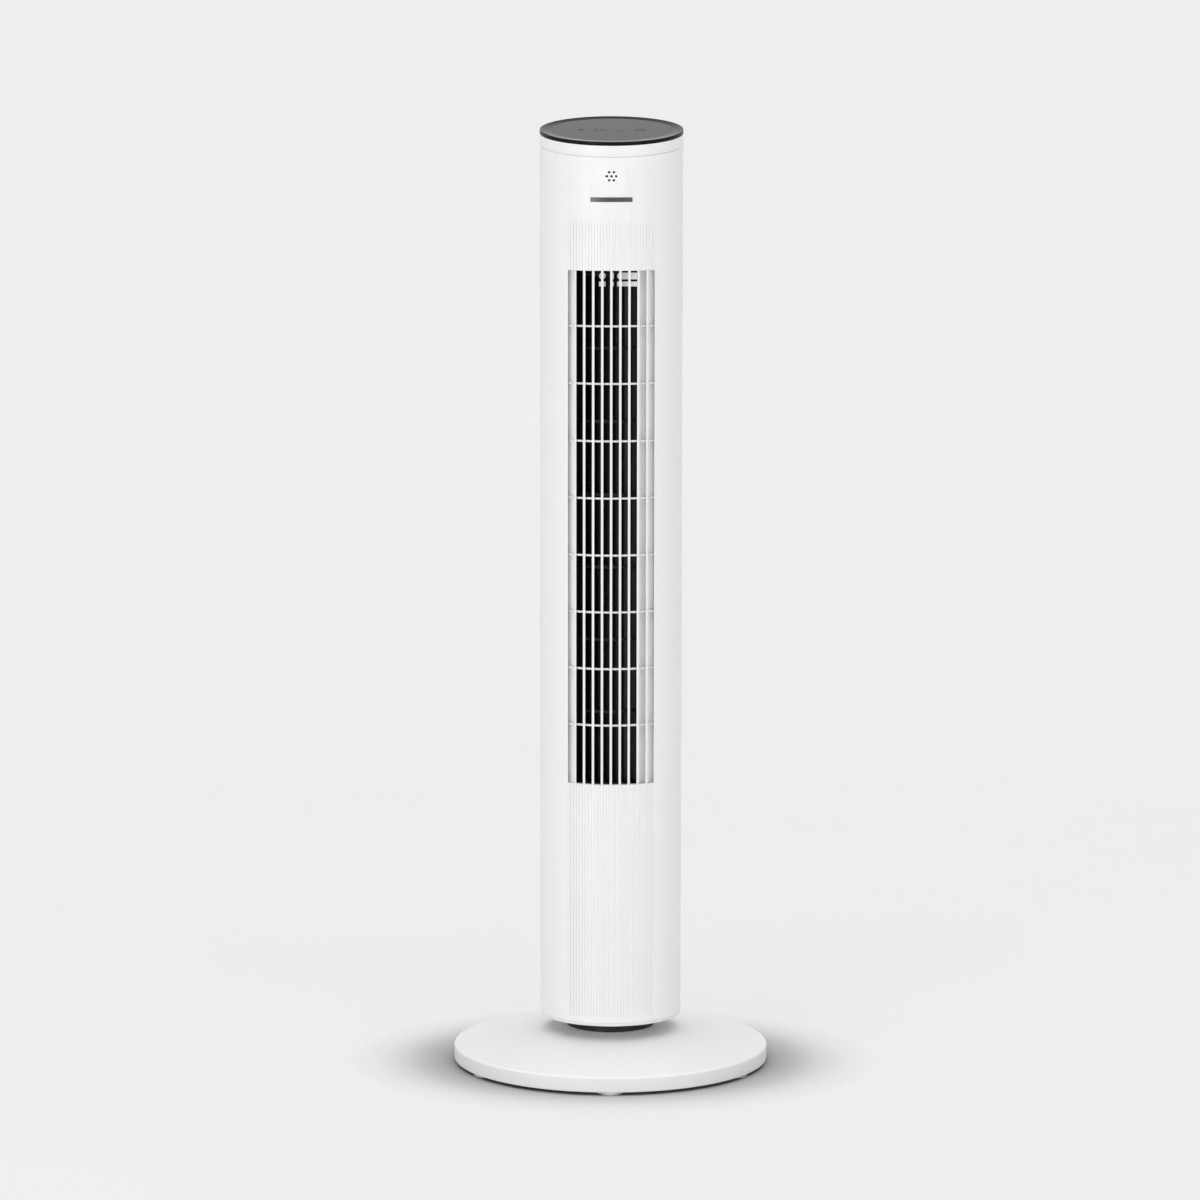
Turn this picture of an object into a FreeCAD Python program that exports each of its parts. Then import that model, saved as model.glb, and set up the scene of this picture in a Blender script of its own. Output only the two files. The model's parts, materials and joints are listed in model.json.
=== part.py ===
import FreeCAD, Part
import math
import os
import re
import Sketcher
from FreeCAD import Placement, Rotation, Vector

# A tower fan on a round base. Millimetres. Z is up from the floor along the tower's axis, and the
# front of the fan faces -Y.

SIZES = [
    # base
    ("base_r", 154.0, "radius of the round base"),
    ("base_low", 3.0, "lower edge of the base cover above the floor"),
    ("base_side_top", 17.7, "top of the base's upright side"),
    ("cone_top", 36.3, "height of the flat in the middle of the base"),
    ("base_wall", 2.5, "thickness of the base cover"),
    ("plate_low", 3.2, "underside of the base plate"),
    ("plate_top", 5.7, "upper side of the base plate"),
    ("plate_well", 1.2, "depth of the wells for the base screws' heads"),
    ("weight_in", 62.0, "inner radius of the steel weight"),
    ("weight_out", 104.0, "outer radius of the steel weight"),
    ("weight_top", 11.7, "upper side of the steel weight"),
    ("foot_r", 12.0, "radius of a rubber foot"),
    ("foot_ring", 139.0, "radius of the circle the feet stand on"),
    ("base_screw_ring", 118.0, "radius of the circle of base screws"),
    ("boss_r", 4.5, "radius of a screw boss in the base"),
    ("screw_r", 1.5, "radius of a screw's shank"),
    ("head_r", 2.9, "radius of a screw's head"),
    ("head_high", 2.0, "height of a screw's head"),
    ("cord_r", 3.6, "radius of the cord's hole"),
    ("grommet_r", 4.4, "radius of the cord grommet's body"),
    ("grommet_lip", 0.3, "how far the grommet's lip stands out behind the cover's wall"),
    ("grommet_in", 146.5, "inner end of the cord grommet"),
    ("cord_z", 10.55, "height of the cord's hole"),
    # neck and pivot
    ("neck_r", 43.0, "radius of the black neck collar"),
    ("neck_in", 30.0, "inner radius of the neck collar"),
    ("neck_top", 46.9, "top of the neck collar"),
    ("slide_top", 47.55, "top of the slide ring the tower turns on"),
    ("tube_r", 14.0, "outer radius of the pivot tube"),
    ("tube_in", 10.0, "inner radius of the pivot tube"),
    ("tube_top", 73.0, "top of the pivot tube"),
    ("flange_r", 39.0, "radius of the pivot tube's flange"),
    ("flange_thick", 3.0, "thickness of the pivot tube's flange"),
    ("pivot_screw_ring", 35.0, "radius of the circle of pivot screws"),
    ("running_gap", 0.05, "radial clearance of a running fit"),
    ("fit_gap", 0.2, "gap round a piece that fits into another"),
    ("loose_gap", 0.3, "gap round the base plate and round a sunk screw's head"),
    ("post_r", 4.0, "radius of a post that takes a screw"),
    ("clip_low", 68.1, "underside of the retaining clip"),
    ("clip_top", 69.3, "upper side of the retaining clip"),
    ("clip_groove_r", 13.0, "radius at the bottom of the clip's groove"),
    ("clip_r", 18.0, "outer radius of the retaining clip"),
    # swing drive
    ("gear_module", 1.0, "module of the swing gears"),
    ("pressure_angle", 20.0, "pressure angle of the swing gears, in degrees"),
    ("tooth_tip", 0.9, "height of a tooth above the pitch circle, in modules"),
    ("tooth_root", 1.25, "depth of a tooth below the pitch circle, in modules"),
    ("backlash", 0.08, "play between the swing gears' teeth"),
    ("gear_low", 62.0, "underside of the swing gears"),
    ("gear_top", 68.0, "upper side of the swing gears"),
    ("fixed_teeth", 60.0, "teeth of the gear fixed to the base"),
    ("pinion_teeth", 15.0, "teeth of the drive pinion"),
    ("gear_centres", 37.6, "distance between the two gears' axes"),
    ("pinion_shaft_r", 2.5, "radius of the pinion's shaft"),
    ("swing_post", 26.0, "distance of a swing motor post from the pinion's axis"),
    ("swing_motor_r", 20.0, "radius of the swing motor"),
    ("bracket_low", 70.0, "underside of the swing motor's bracket"),
    ("bracket_top", 72.0, "upper side of the swing motor's bracket"),
    ("swing_motor_top", 90.0, "top of the swing motor"),
    # tower's outside
    ("tower_r", 69.0, "outer radius of the tower"),
    ("wall", 2.4, "thickness of the tower's shells"),
    ("tower_low", 47.6, "bottom of the tower"),
    ("floor_top", 50.8, "upper side of the tower's floor"),
    ("floor_round", 2.4, "rounding of the tower's bottom edge"),
    ("hub_r", 20.0, "outer radius of the bearing hub in the tower's floor"),
    ("hub_top", 61.5, "top of the bearing hub"),
    ("seam_y", 8.0, "where the front and rear shells meet"),
    ("panel_tilt", 9.1, "slope of the top towards the front, in degrees"),
    ("shell_top", 898.6, "top edge of the shells, on the axis"),
    ("ring_high", 10.74, "height of the white ring under the control lens"),
    ("lens_thick", 3.85, "thickness of the control lens at its rim"),
    ("lens_r", 69.15, "radius of the control lens"),
    ("lens_flat_r", 59.3, "radius of the lens's flat middle"),
    ("lens_dip", 0.8, "how far the lens's middle lies below its rim"),
    ("seam_gap", 0.25, "gap between outside pieces that meet"),
    # outlet window and ribs
    ("window_half", 41.3, "half the width of the outlet and of the ribbed band"),
    ("window_low", 285.6, "bottom of the outlet"),
    ("window_high", 780.3, "top of the outlet"),
    ("bar_pitch", 8.62, "spacing of the upright bars"),
    ("bar_wide", 2.3, "width of an upright bar"),
    ("bars_each_side", 4.0, "upright bars each side of the middle one"),
    ("bar_back_r", 64.0, "radius of the back of the upright bars"),
    ("cross_top", 727.4, "height of the uppermost cross bar"),
    ("cross_pitch", 54.92, "spacing of the cross bars"),
    ("cross_bars", 8.0, "number of cross bars"),
    ("cross_high", 1.7, "height of a cross bar"),
    ("cross_front_r", 66.3, "radius of the front of the cross bars"),
    ("frame_in_r", 63.6, "inner radius of a grille's hidden frame"),
    ("frame_out_r", 66.4, "outer radius of a grille's hidden frame"),
    ("frame_lap", 5.5, "how far a hidden frame reaches behind the shell"),
    ("rib_low", 57.7, "bottom of the ribbed band"),
    ("rib_high", 824.9, "top of the ribbed band"),
    ("ribs_per_bar", 3.0, "ribs in one bar spacing"),
    ("rib_gap", 0.6, "width of the groove between two ribs"),
    ("rib_deep", 0.25, "depth of that groove"),
    # sounder and badge
    ("sound_z", 869.7, "height of the sounder's holes"),
    ("sound_ring", 4.4, "radius of the ring of sounder holes"),
    ("sound_hole_r", 1.2, "radius of a sounder hole"),
    ("sound_post_x", 11.0, "distance of a sounder post from the middle"),
    ("sound_board_y", -58.8, "front of the sounder's board"),
    ("buzzer_r", 6.5, "radius of the buzzer"),
    ("buzzer_deep", 6.6, "depth of the buzzer"),
    ("badge_z", 847.6, "height of the blank badge"),
    ("badge_long", 40.0, "length of the blank badge"),
    ("badge_high", 4.4, "height of the badge plate"),
    ("badge_deep", 0.6, "depth of the badge's recess"),
    # inlet grille in the rear shell
    ("inlet_half", 52.0, "half the width of the inlet"),
    ("inlet_low", 292.0, "bottom of the inlet"),
    ("inlet_high", 772.0, "top of the inlet"),
    ("slot_pitch", 7.2, "spacing of the inlet slots"),
    ("slot_wide", 3.6, "width of an inlet slot"),
    ("slots_each_side", 6.0, "inlet slots each side of the middle one"),
    ("slot_rows", 9.0, "rows of inlet slots"),
    ("slot_web", 5.0, "height of the web between two rows"),
    # shell screws
    ("block_in", 53.0, "inner side of a screw block"),
    ("block_high", 10.0, "height of a screw block"),
    ("block_deep", 12.0, "depth of a screw block on each side of the seam"),
    ("shell_screw_x", 57.0, "distance of a shell screw from the middle"),
    ("well_r", 3.4, "radius of the well over a shell screw"),
    # duct
    ("duct_floor_low", 274.0, "underside of the duct's floor"),
    ("duct_floor_top", 277.0, "upper side of the duct's floor"),
    ("duct_roof_low", 792.0, "underside of the duct's roof"),
    ("duct_roof_top", 795.0, "upper side of the duct's roof"),
    ("duct_r", 63.3, "radius of the duct's floor and roof"),
    ("ledge_in", 57.0, "inner radius of the ledges that hold the floor and roof"),
    ("ledge_thick", 3.0, "thickness of such a ledge"),
    ("duct_wall", 2.0, "thickness of the duct's walls"),
    ("scroll_start", 125.0, "angle at which the scroll wall starts, in degrees"),
    ("scroll_end", 226.0, "angle at which the scroll wall leaves the impeller, in degrees"),
    ("scroll_short", 4.0, "how much sooner the scroll wall's outside turns away, in degrees"),
    ("scroll_start_r", 42.8, "radius at which the scroll wall starts to open"),
    ("scroll_end_r", 47.0, "radius at which the scroll wall leaves the impeller"),
    ("tongue_start", -22.0, "angle at which the tongue wall starts, in degrees"),
    ("tongue_end", -48.3, "angle at which the tongue wall leaves the impeller, in degrees"),
    ("tongue_short", 2.3, "how much sooner the tongue wall's outside turns away, in degrees"),
    ("tongue_r", 43.0, "radius of the tongue wall beside the impeller"),
    ("tongue_x", 26.5, "distance of the tongue wall from the middle"),
    ("tongue_step_x", 32.3, "distance of the step in the tongue wall from the middle"),
    ("flange_x", 34.4, "distance of the scroll wall's corner from the middle"),
    ("mouth_r", 63.1, "radius on which the outlet flanges lie"),
    ("mouth_x", 43.0, "distance of the outlet flanges' outer edges from the middle"),
    ("strip_sunk", 1.8, "how far the tongue wall's strip lies behind its flange"),
    ("comb_front", 60.0, "front of the comb behind the outlet's upper end"),
    ("comb_back", 57.0, "back of that comb"),
    ("comb_neck", 1.8, "width of a neck of the comb"),
    ("comb_lobe_r", 3.2, "radius of a lobe of the comb"),
    ("comb_slim_x", 2.3, "right side of the comb's slim tooth"),
    ("comb_high", 775.0, "height of the comb's upper row"),
    ("comb_low", 767.4, "height of the comb's lower row"),
    ("comb_low_half", 2.3, "half the height of the comb's lower row"),
    ("comb_plate_x", 10.3, "distance of the comb's plates from the middle"),
    ("duct_screw_x", 44.0, "distance of a duct screw from the middle"),
    ("duct_screw_y", 41.5, "distance of a duct screw behind the axis"),
    # impeller and its motor
    ("fan_x", -2.0, "impeller axis from the tower's axis, sideways"),
    ("fan_y", 8.0, "impeller axis from the tower's axis, to the rear"),
    ("wheel_r", 40.6, "outer radius of the impeller wheel"),
    ("blade_out_r", 40.0, "outer radius of the blades"),
    ("blade_in_r", 32.5, "inner radius of the blades"),
    ("blade_thick", 1.2, "thickness of a blade"),
    ("blade_lean", 10.0, "how far a blade leans from the radius, in degrees"),
    ("blade_bow", 1.3, "bow of a blade at its middle"),
    ("blades", 26.0, "blades round the wheel"),
    ("sections", 7.0, "sections along the wheel"),
    ("disc_thick", 2.5, "thickness of the wheel's discs"),
    ("disc_in_r", 31.0, "inner radius of the discs between sections"),
    ("wheel_low", 279.5, "bottom of the wheel"),
    ("wheel_top", 776.0, "top of the wheel"),
    ("hub_rubber_r", 10.0, "radius of the wheel's rubber hub"),
    ("shaft_r", 3.0, "radius of the motor's shaft and of the top pin"),
    ("shaft_low", 196.0, "lower end of the motor's shaft"),
    ("shaft_top", 286.5, "upper end of the motor's shaft"),
    ("motor_r", 37.0, "radius of the fan motor"),
    ("motor_low", 205.0, "bottom of the fan motor's case"),
    ("motor_middle", 232.0, "where the two halves of the case meet"),
    ("motor_top", 259.0, "top of the fan motor's case"),
    ("motor_sheet", 1.5, "thickness of the case"),
    ("motor_hub_r", 9.0, "radius of the case's bearing hubs"),
    ("motor_hub_high", 6.0, "how far a bearing hub stands out of the case"),
    ("bush_r", 6.0, "outer radius of a motor bush"),
    ("core_low", 220.0, "bottom of the motor's core"),
    ("core_top", 244.0, "top of the motor's core"),
    ("core_in", 22.3, "inner radius of the stator core"),
    ("rotor_r", 21.8, "radius of the rotor"),
    ("coil_in", 24.0, "inner radius of a winding"),
    ("coil_out", 33.0, "outer radius of a winding"),
    ("coil_high", 7.0, "height of a winding"),
    ("mount_ring", 26.0, "radius of the circle of motor mounts"),
    ("mount_r", 6.0, "radius of a rubber motor mount"),
    ("carrier_low", 267.0, "underside of the motor's bracket"),
    ("carrier_top", 269.0, "upper side of the motor's bracket"),
    ("carrier_r", 49.0, "radius of the motor's bracket"),
    # top bearing
    ("bearing_low", 779.0, "bottom of the top bearing's housing"),
    ("housing_r", 10.2, "outer radius of the top bearing's housing"),
    ("housing_in", 8.6, "inner radius of the top bearing's housing"),
    ("top_bush_r", 6.4, "outer radius of the top bush"),
    ("top_bush_low", 781.0, "bottom of the top bush"),
    ("top_bush_top", 789.0, "top of the top bush"),
    ("pin_low", 766.5, "lower end of the top pin"),
    ("pin_top", 790.0, "upper end of the top pin"),
    # control board in the foot of the tower
    ("board_half", 30.0, "half the width of the main board"),
    ("board_low", 100.0, "bottom of the main board"),
    ("board_top", 190.0, "top of the main board"),
    ("board_y", 46.2, "front of the main board"),
    ("board_thick", 1.6, "thickness of a circuit board"),
    ("frame_post_x", 24.0, "distance of a post of the board's frame from the middle"),
    ("frame_post_r", 3.5, "radius of such a post"),
    ("board_frame_thick", 2.4, "thickness of the board's frame"),
    ("transformer_left", -24.0, "left side of the transformer"),
    ("transformer_right", 8.0, "right side of the transformer"),
    ("transformer_deep", 24.0, "depth of the transformer"),
    ("transformer_high", 28.0, "height of the transformer"),
    ("terminal_half", 22.0, "half the width of the terminal block"),
    ("terminal_size", 10.0, "height and depth of the terminal block"),
    ("capacitor_x", 18.0, "distance of the capacitors from the middle"),
    ("capacitor_r", 5.0, "radius of a capacitor"),
    ("capacitor_long", 16.0, "length of a capacitor"),
    ("capacitor_step", 15.0, "spacing of the capacitors"),
    # panel under the lens
    ("tray_r", 66.2, "radius of the tray under the control lens"),
    ("tray_drop", 5.0, "how far the tray lies below the control lens"),
    ("tray_thick", 2.0, "thickness of the tray"),
    ("tray_post_ring", 42.0, "radius of the circle of posts under the touch board"),
    ("tray_post_r", 3.0, "radius of such a post"),
    ("touch_board_r", 50.0, "radius of the touch board"),
    ("touch_drop", 2.6, "how far the touch board lies below the control lens"),
    ("touch_pad_r", 4.5, "radius of a touch pad"),
    ("eye_r", 2.5, "radius of the infrared eye"),
    ("eye_x", 16.0, "distance of the infrared eye from the middle"),
    ("eye_y", 36.0, "distance of the infrared eye in front of the axis"),
]

TOWER_AXIS = (0.0, 0.0)

doc = FreeCAD.newDocument("tower_fan")
sheet = doc.addObject("Spreadsheet::Sheet", "Sizes")
size = {}
for row, (alias, value, meaning) in enumerate(SIZES, start=1):
    sheet.set(f"A{row}", meaning)
    sheet.set(f"B{row}", str(value))
    sheet.setAlias(f"B{row}", alias)
    size[alias] = value
doc.recompute()

nodes = []


def formula(text):
    """Put the sheet's name before every size that the text names."""
    return re.sub(r"[a-z]\w*", lambda word: ("Sizes." if word[0] in size else "") + word[0], str(text))


def bind(obj, **properties):
    for name, text in properties.items():
        obj.setExpression(name.replace("__", "."), formula(text))


def node(label, obj):
    """Make obj one of the fan's finished pieces."""
    obj.Label = label
    nodes.append(obj)
    return obj


# ---- simple solids ----

def rod(name, radius, low, high, at=("0", "0"), along="Z"):
    """A cylinder from low to high. at is its axis: x and y when it stands, x and z along Y."""
    obj = doc.addObject("Part::Cylinder", name)
    bind(obj, Radius=radius, Height=f"({high}) - ({low})")
    if along == "Y":
        obj.Placement = Placement(Vector(), Rotation(Vector(1, 0, 0), -90))
        bind(obj, Placement__Base__x=at[0], Placement__Base__y=low, Placement__Base__z=at[1])
    else:
        bind(obj, Placement__Base__x=at[0], Placement__Base__y=at[1], Placement__Base__z=low)
    return obj


def block(name, x, y, z):
    """A box. x, y and z are each its low and high side."""
    obj = doc.addObject("Part::Box", name)
    for side, axis, (low, high) in zip(("Length", "Width", "Height"), "xyz", (x, y, z)):
        bind(obj, **{side: f"({high}) - ({low})", f"Placement__Base__{axis}": low})
    return obj


def union(name, pieces):
    obj = doc.addObject("Part::MultiFuse", name)
    obj.Shapes = pieces
    obj.Refine = True
    return obj


def minus(name, whole, tools):
    """whole with every one of the tools taken out of it."""
    if len(tools) == 1:
        tool = tools[0]
    else:
        tool = doc.addObject("Part::Compound", name + "_tools")
        tool.Links = tools
    obj = doc.addObject("Part::Cut", name)
    obj.Base = whole
    obj.Tool = tool
    return obj


def shared(name, first, second):
    """What two solids have in common."""
    obj = doc.addObject("Part::Common", name)
    obj.Base = first
    obj.Tool = second
    return obj


def group(name, pieces):
    obj = doc.addObject("Part::Compound", name)
    obj.Links = pieces
    return obj


def tube(name, inner, outer, low, high, at=("0", "0"), along="Z"):
    whole = rod(name + "_outside", outer, low, high, at, along)
    return minus(name, whole, [rod(name + "_bore", inner, low, high, at, along)])


def turned(name, outline, at=("0", "0")):
    """A solid turned about a standing axis from an outline of (radius, height) corners."""
    body = doc.addObject("PartDesign::Body", name)
    sketch = body.newObject("Sketcher::SketchObject", name + "_outline")
    plane = next(p for p in body.Origin.OriginFeatures if p.Role == "XZ_Plane")
    sketch.AttachmentSupport = [(plane, "")]
    sketch.MapMode = "FlatFace"
    count = len(outline)
    start = [Vector(2 + math.cos(2 * math.pi * i / count), math.sin(2 * math.pi * i / count), 0)
             for i in range(count)]
    for i in range(count):
        sketch.addGeometry(Part.LineSegment(start[i], start[(i + 1) % count]), False)
    for i in range(count):
        sketch.addConstraint(Sketcher.Constraint("Coincident", i, 2, (i + 1) % count, 1))
    for i, (radius, height) in enumerate(outline):
        for kind, text, first in (("DistanceX", radius, start[i].x), ("DistanceY", height, start[i].y)):
            number = sketch.addConstraint(Sketcher.Constraint(kind, -1, 1, i, 1, first))
            sketch.setExpression(f"Constraints[{number}]", formula(text))
    turn = body.newObject("PartDesign::Revolution", name + "_turn")
    turn.Profile = (sketch, [""])
    turn.ReferenceAxis = (sketch, ["V_Axis"])
    turn.Angle = 360
    bind(body, Placement__Base__x=at[0], Placement__Base__y=at[1])
    return body


def rounded(name, base, radius, wanted):
    """base with a fillet on every edge that wanted(edge) picks."""
    doc.recompute()
    picked = [i for i, edge in enumerate(base.Shape.Edges, start=1) if wanted(edge)]
    obj = doc.addObject("Part::Fillet", name)
    obj.Base = base
    obj.Edges = [(i, radius, radius) for i in picked]
    return obj


def circle_at(radius, height):
    """Tells whether an edge is the circle of that radius at that height."""
    def check(edge):
        box = edge.BoundBox
        flat = box.ZLength < 0.01
        return flat and abs(box.ZMin - height) < 0.01 and abs(box.XMax - radius) < 0.01
    return check


def built(name, shape):
    """A piece whose shape is worked out below from the sheet's sizes."""
    obj = doc.addObject("Part::Feature", name)
    obj.Shape = shape
    return obj


def round_the_axis(radius, count, first, centre=("0", "0")):
    """Formulas for the places of count things spaced evenly on a circle, the first at that angle."""
    for k in range(count):
        angle = first + 360 * k / count
        yield f"{centre[0]} + {radius} * cos({angle})", f"{centre[1]} + {radius} * sin({angle})"


def screw(name, at, seat, point, upward=True, along="Z", thick="head_high"):
    """A pan-head screw: the head's flat side lies at seat, and the shank ends at point."""
    if upward:
        head = rod(name + "_head", "head_r", f"{seat} - ({thick})", seat, at, along)
        shank = rod(name + "_shank", "screw_r", f"{seat} - 0.5", point, at, along)
    else:
        head = rod(name + "_head", "head_r", seat, f"{seat} + ({thick})", at, along)
        shank = rod(name + "_shank", "screw_r", point, f"{seat} + 0.5", at, along)
    return union(name, [head, shank])


# ---- plain shapes for the pieces worked out in code ----

def box_shape(x, y, z):
    return Part.makeBox(x[1] - x[0], y[1] - y[0], z[1] - z[0], Vector(x[0], y[0], z[0]))


def tube_shape(inner, outer, low, high):
    whole = Part.makeCylinder(outer, high - low, Vector(0, 0, low))
    return whole.cut(Part.makeCylinder(inner, high - low, Vector(0, 0, low)))


def curved(boxes, inner, outer, low, high):
    """The boxes, kept only between two radii about the tower's axis, so they follow its curve."""
    return Part.makeCompound(boxes).common(tube_shape(inner, outer, low, high))


def polar(radius, degrees, centre=TOWER_AXIS, z=0.0):
    angle = math.radians(degrees)
    return Vector(centre[0] + radius * math.cos(angle), centre[1] + radius * math.sin(angle), z)


# ---- slabs and discs that lie along the sloping top ----

def sloping_slab(name, low, thick):
    """A slab parallel to the sloping top. low is its lower side's height on the tower's axis."""
    reach = "200"
    obj = doc.addObject("Part::Box", name)
    obj.Placement = Placement(Vector(), Rotation(Vector(1, 0, 0), size["panel_tilt"]))
    bind(obj, Length=f"2 * {reach}", Width=f"2 * {reach}", Height=f"({thick}) * cos(panel_tilt)",
         Placement__Base__x=f"-{reach}", Placement__Base__y=f"-{reach} * cos(panel_tilt)",
         Placement__Base__z=f"{low} - {reach} * sin(panel_tilt)",
         Placement__Rotation__Angle="panel_tilt")
    return obj


def sloping_rod(name, radius, low, high, right="0", back="0"):
    """A cylinder square to the sloping top, low and high measured up from the lens's underside."""
    lens_low = "(shell_top + ring_high)"
    obj = doc.addObject("Part::Cylinder", name)
    obj.Placement = Placement(Vector(), Rotation(Vector(1, 0, 0), size["panel_tilt"]))
    bind(obj, Radius=radius, Height=f"({high}) - ({low})", Placement__Base__x=right,
         Placement__Base__y=f"({back}) * cos(panel_tilt) - ({low}) * sin(panel_tilt)",
         Placement__Base__z=f"{lens_low} + ({back}) * sin(panel_tilt) + ({low}) * cos(panel_tilt)",
         Placement__Rotation__Angle="panel_tilt")
    return obj


# ==== base ====

# The cover is a shallow cone on a short upright side, with screw bosses under it and a hole at the
# back for the cord's grommet.
cone_rise = "(cone_top - base_side_top) / (base_r - neck_r)"
cover = turned("cover_turned", [
    ("base_r", "base_low"), ("base_r", "base_side_top"), ("neck_r", "cone_top"),
    ("tube_r + fit_gap", "cone_top"), ("tube_r + fit_gap", "cone_top - base_wall"),
    ("neck_r", "cone_top - base_wall"), ("base_r - base_wall", "base_side_top - base_wall"),
    ("base_r - base_wall", "base_low")])
cover = rounded("cover_top_round", cover, 2.4, circle_at(size["base_r"], size["base_side_top"]))
cover = rounded("cover_low_round", cover, 1.0, circle_at(size["base_r"], size["base_low"]))
boss_places = list(round_the_axis("base_screw_ring", 6, -60))
boss_top = f"base_side_top - 1 + (base_r - base_screw_ring) * {cone_rise}"
bosses = [rod(f"boss{i}", "boss_r", "plate_top", boss_top, at) for i, at in enumerate(boss_places)]
pilots = [rod(f"pilot{i}", "screw_r", "plate_top", "plate_top + 12", at)
          for i, at in enumerate(boss_places)]
cord_hole = rod("cord_hole", "grommet_r", "base_r - 8", "base_r + 1", ("0", "cord_z"), "Y")
pivot_places = list(round_the_axis("pivot_screw_ring", 4, 45))
pivot_holes = [rod(f"cover_hole{i}", "screw_r", "cone_top - base_wall", "cone_top", at)
               for i, at in enumerate(pivot_places)]
node("base_cover", minus("base_cover_cut", union("cover_bossed", [cover] + bosses),
                         pilots + pivot_holes + [cord_hole]))

plate = rod("plate_disc", "base_r - base_wall - loose_gap", "plate_low", "plate_top")
plate_holes = [rod(f"plate_hole{i}", "screw_r", "plate_low", "plate_top", at)
               for i, at in enumerate(boss_places)]
plate_wells = [rod(f"plate_well{i}", "head_r + loose_gap", "plate_low", "plate_low + plate_well", at)
               for i, at in enumerate(boss_places)]
node("base_plate", minus("base_plate_cut", plate, plate_holes + plate_wells))

node("base_weight", tube("weight_ring", "weight_in", "weight_out", "plate_top", "weight_top"))

node("rubber_feet", group("feet", [
    rod(f"foot{i}", "foot_r", "0", "plate_low", at)
    for i, at in enumerate(round_the_axis("foot_ring", 6, -90))]))

node("base_screws", group("base_screw_set", [
    screw(f"base_screw{i}", at, "plate_low + plate_well", "plate_top + 10", thick="plate_well - 0.1")
    for i, at in enumerate(boss_places)]))

# The neck's collar hides the joint and takes the pivot tube's screws.
collar = turned("collar_turned", [
    ("neck_in", "cone_top"), ("neck_r", "cone_top"), ("neck_r", "neck_top"), ("neck_in", "neck_top")])
collar_pilots = [rod(f"collar_pilot{i}", "screw_r", "cone_top", "cone_top + 7", at)
                 for i, at in enumerate(pivot_places)]
node("neck_collar", minus("neck_collar_cut", collar, collar_pilots))

tube_turned = turned("pivot_turned", [
    ("tube_in", "cone_top - base_wall - flange_thick"),
    ("flange_r", "cone_top - base_wall - flange_thick"), ("flange_r", "cone_top - base_wall"),
    ("tube_r", "cone_top - base_wall"), ("tube_r", "clip_low"), ("clip_groove_r", "clip_low"),
    ("clip_groove_r", "clip_top"), ("tube_r", "clip_top"), ("tube_r", "tube_top"),
    ("tube_in", "tube_top")])
flange_holes = [rod(f"flange_hole{i}", "screw_r", "cone_top - base_wall - flange_thick",
                    "cone_top - base_wall", at) for i, at in enumerate(pivot_places)]
node("pivot_tube", minus("pivot_tube_cut", tube_turned, flange_holes))
node("pivot_screws", group("pivot_screw_set", [
    screw(f"pivot_screw{i}", at, "cone_top - base_wall - flange_thick", "cone_top + 6")
    for i, at in enumerate(pivot_places)]))

node("slide_ring", tube("slide_washer", "neck_in + 1", "neck_r - 2", "neck_top", "slide_top"))
node("retaining_clip", tube("clip", "clip_groove_r", "clip_r", "clip_low", "clip_top"))

# The grommet fills the hole at the back of the base. The cord itself isn't part of this piece.
cord_at = ("0", "cord_z")
grommet_body = rod("grommet_body", "grommet_r", "grommet_in", "base_r - fit_gap", cord_at, "Y")
grommet_lip = rod("grommet_lip", "grommet_r + grommet_lip", "grommet_in", "base_r - base_wall - 1", cord_at,
                  "Y")
grommet_bore = rod("grommet_bore", "cord_r", "grommet_in - 1", "base_r + 1", cord_at, "Y")
node("cord_grommet", minus("grommet", union("grommet_whole", [grommet_body, grommet_lip]),
                           [grommet_bore]))


# ==== swing gears ====

def gear_shape(teeth, bore, first_tooth, centre):
    """A spur gear with involute flanks and one tooth's middle at the angle first_tooth."""
    module = size["gear_module"]
    pitch_r = module * teeth / 2
    base_r = pitch_r * math.cos(math.radians(size["pressure_angle"]))
    tip_r = pitch_r + size["tooth_tip"] * module
    root_r = pitch_r - size["tooth_root"] * module
    start_r = max(base_r, root_r)

    def involute(radius):
        angle = math.acos(min(1.0, base_r / radius))
        return math.tan(angle) - angle

    def half_tooth(radius):
        at_pitch = math.pi / (2 * teeth) - size["backlash"] / (2 * pitch_r)
        return math.degrees(at_pitch + involute(pitch_r) - involute(radius))

    low = size["gear_low"]
    edges = []
    steps = 6
    radii = [start_r + (tip_r - start_r) * k / steps for k in range(steps + 1)]
    for tooth in range(teeth):
        middle = first_tooth + 360 * tooth / teeth
        after = middle + 360 / teeth
        rising = [polar(r, middle - half_tooth(r), centre, low) for r in radii]
        falling = [polar(r, middle + half_tooth(r), centre, low) for r in reversed(radii)]
        root_from = polar(root_r, middle + half_tooth(start_r), centre, low)
        root_to = polar(root_r, after - half_tooth(start_r), centre, low)
        root_middle = polar(root_r, middle + 180 / teeth, centre, low)
        tip_middle = polar(tip_r, middle, centre, low)
        flank_up = Part.BSplineCurve()
        flank_up.interpolate(rising)
        flank_down = Part.BSplineCurve()
        flank_down.interpolate(falling)
        edges.append(flank_up.toShape())
        edges.append(Part.Arc(rising[-1], tip_middle, falling[0]).toShape())
        edges.append(flank_down.toShape())
        if start_r > root_r:
            edges.append(Part.LineSegment(falling[-1], root_from).toShape())
        edges.append(Part.Arc(root_from, root_middle, root_to).toShape())
        if start_r > root_r:
            edges.append(Part.LineSegment(root_to, polar(start_r, after - half_tooth(start_r), centre, low))
                         .toShape())
    high = size["gear_top"] - low
    solid = Part.Face(Part.Wire(edges)).extrude(Vector(0, 0, high))
    return solid.cut(Part.makeCylinder(bore, high, Vector(centre[0], centre[1], low)))


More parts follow.
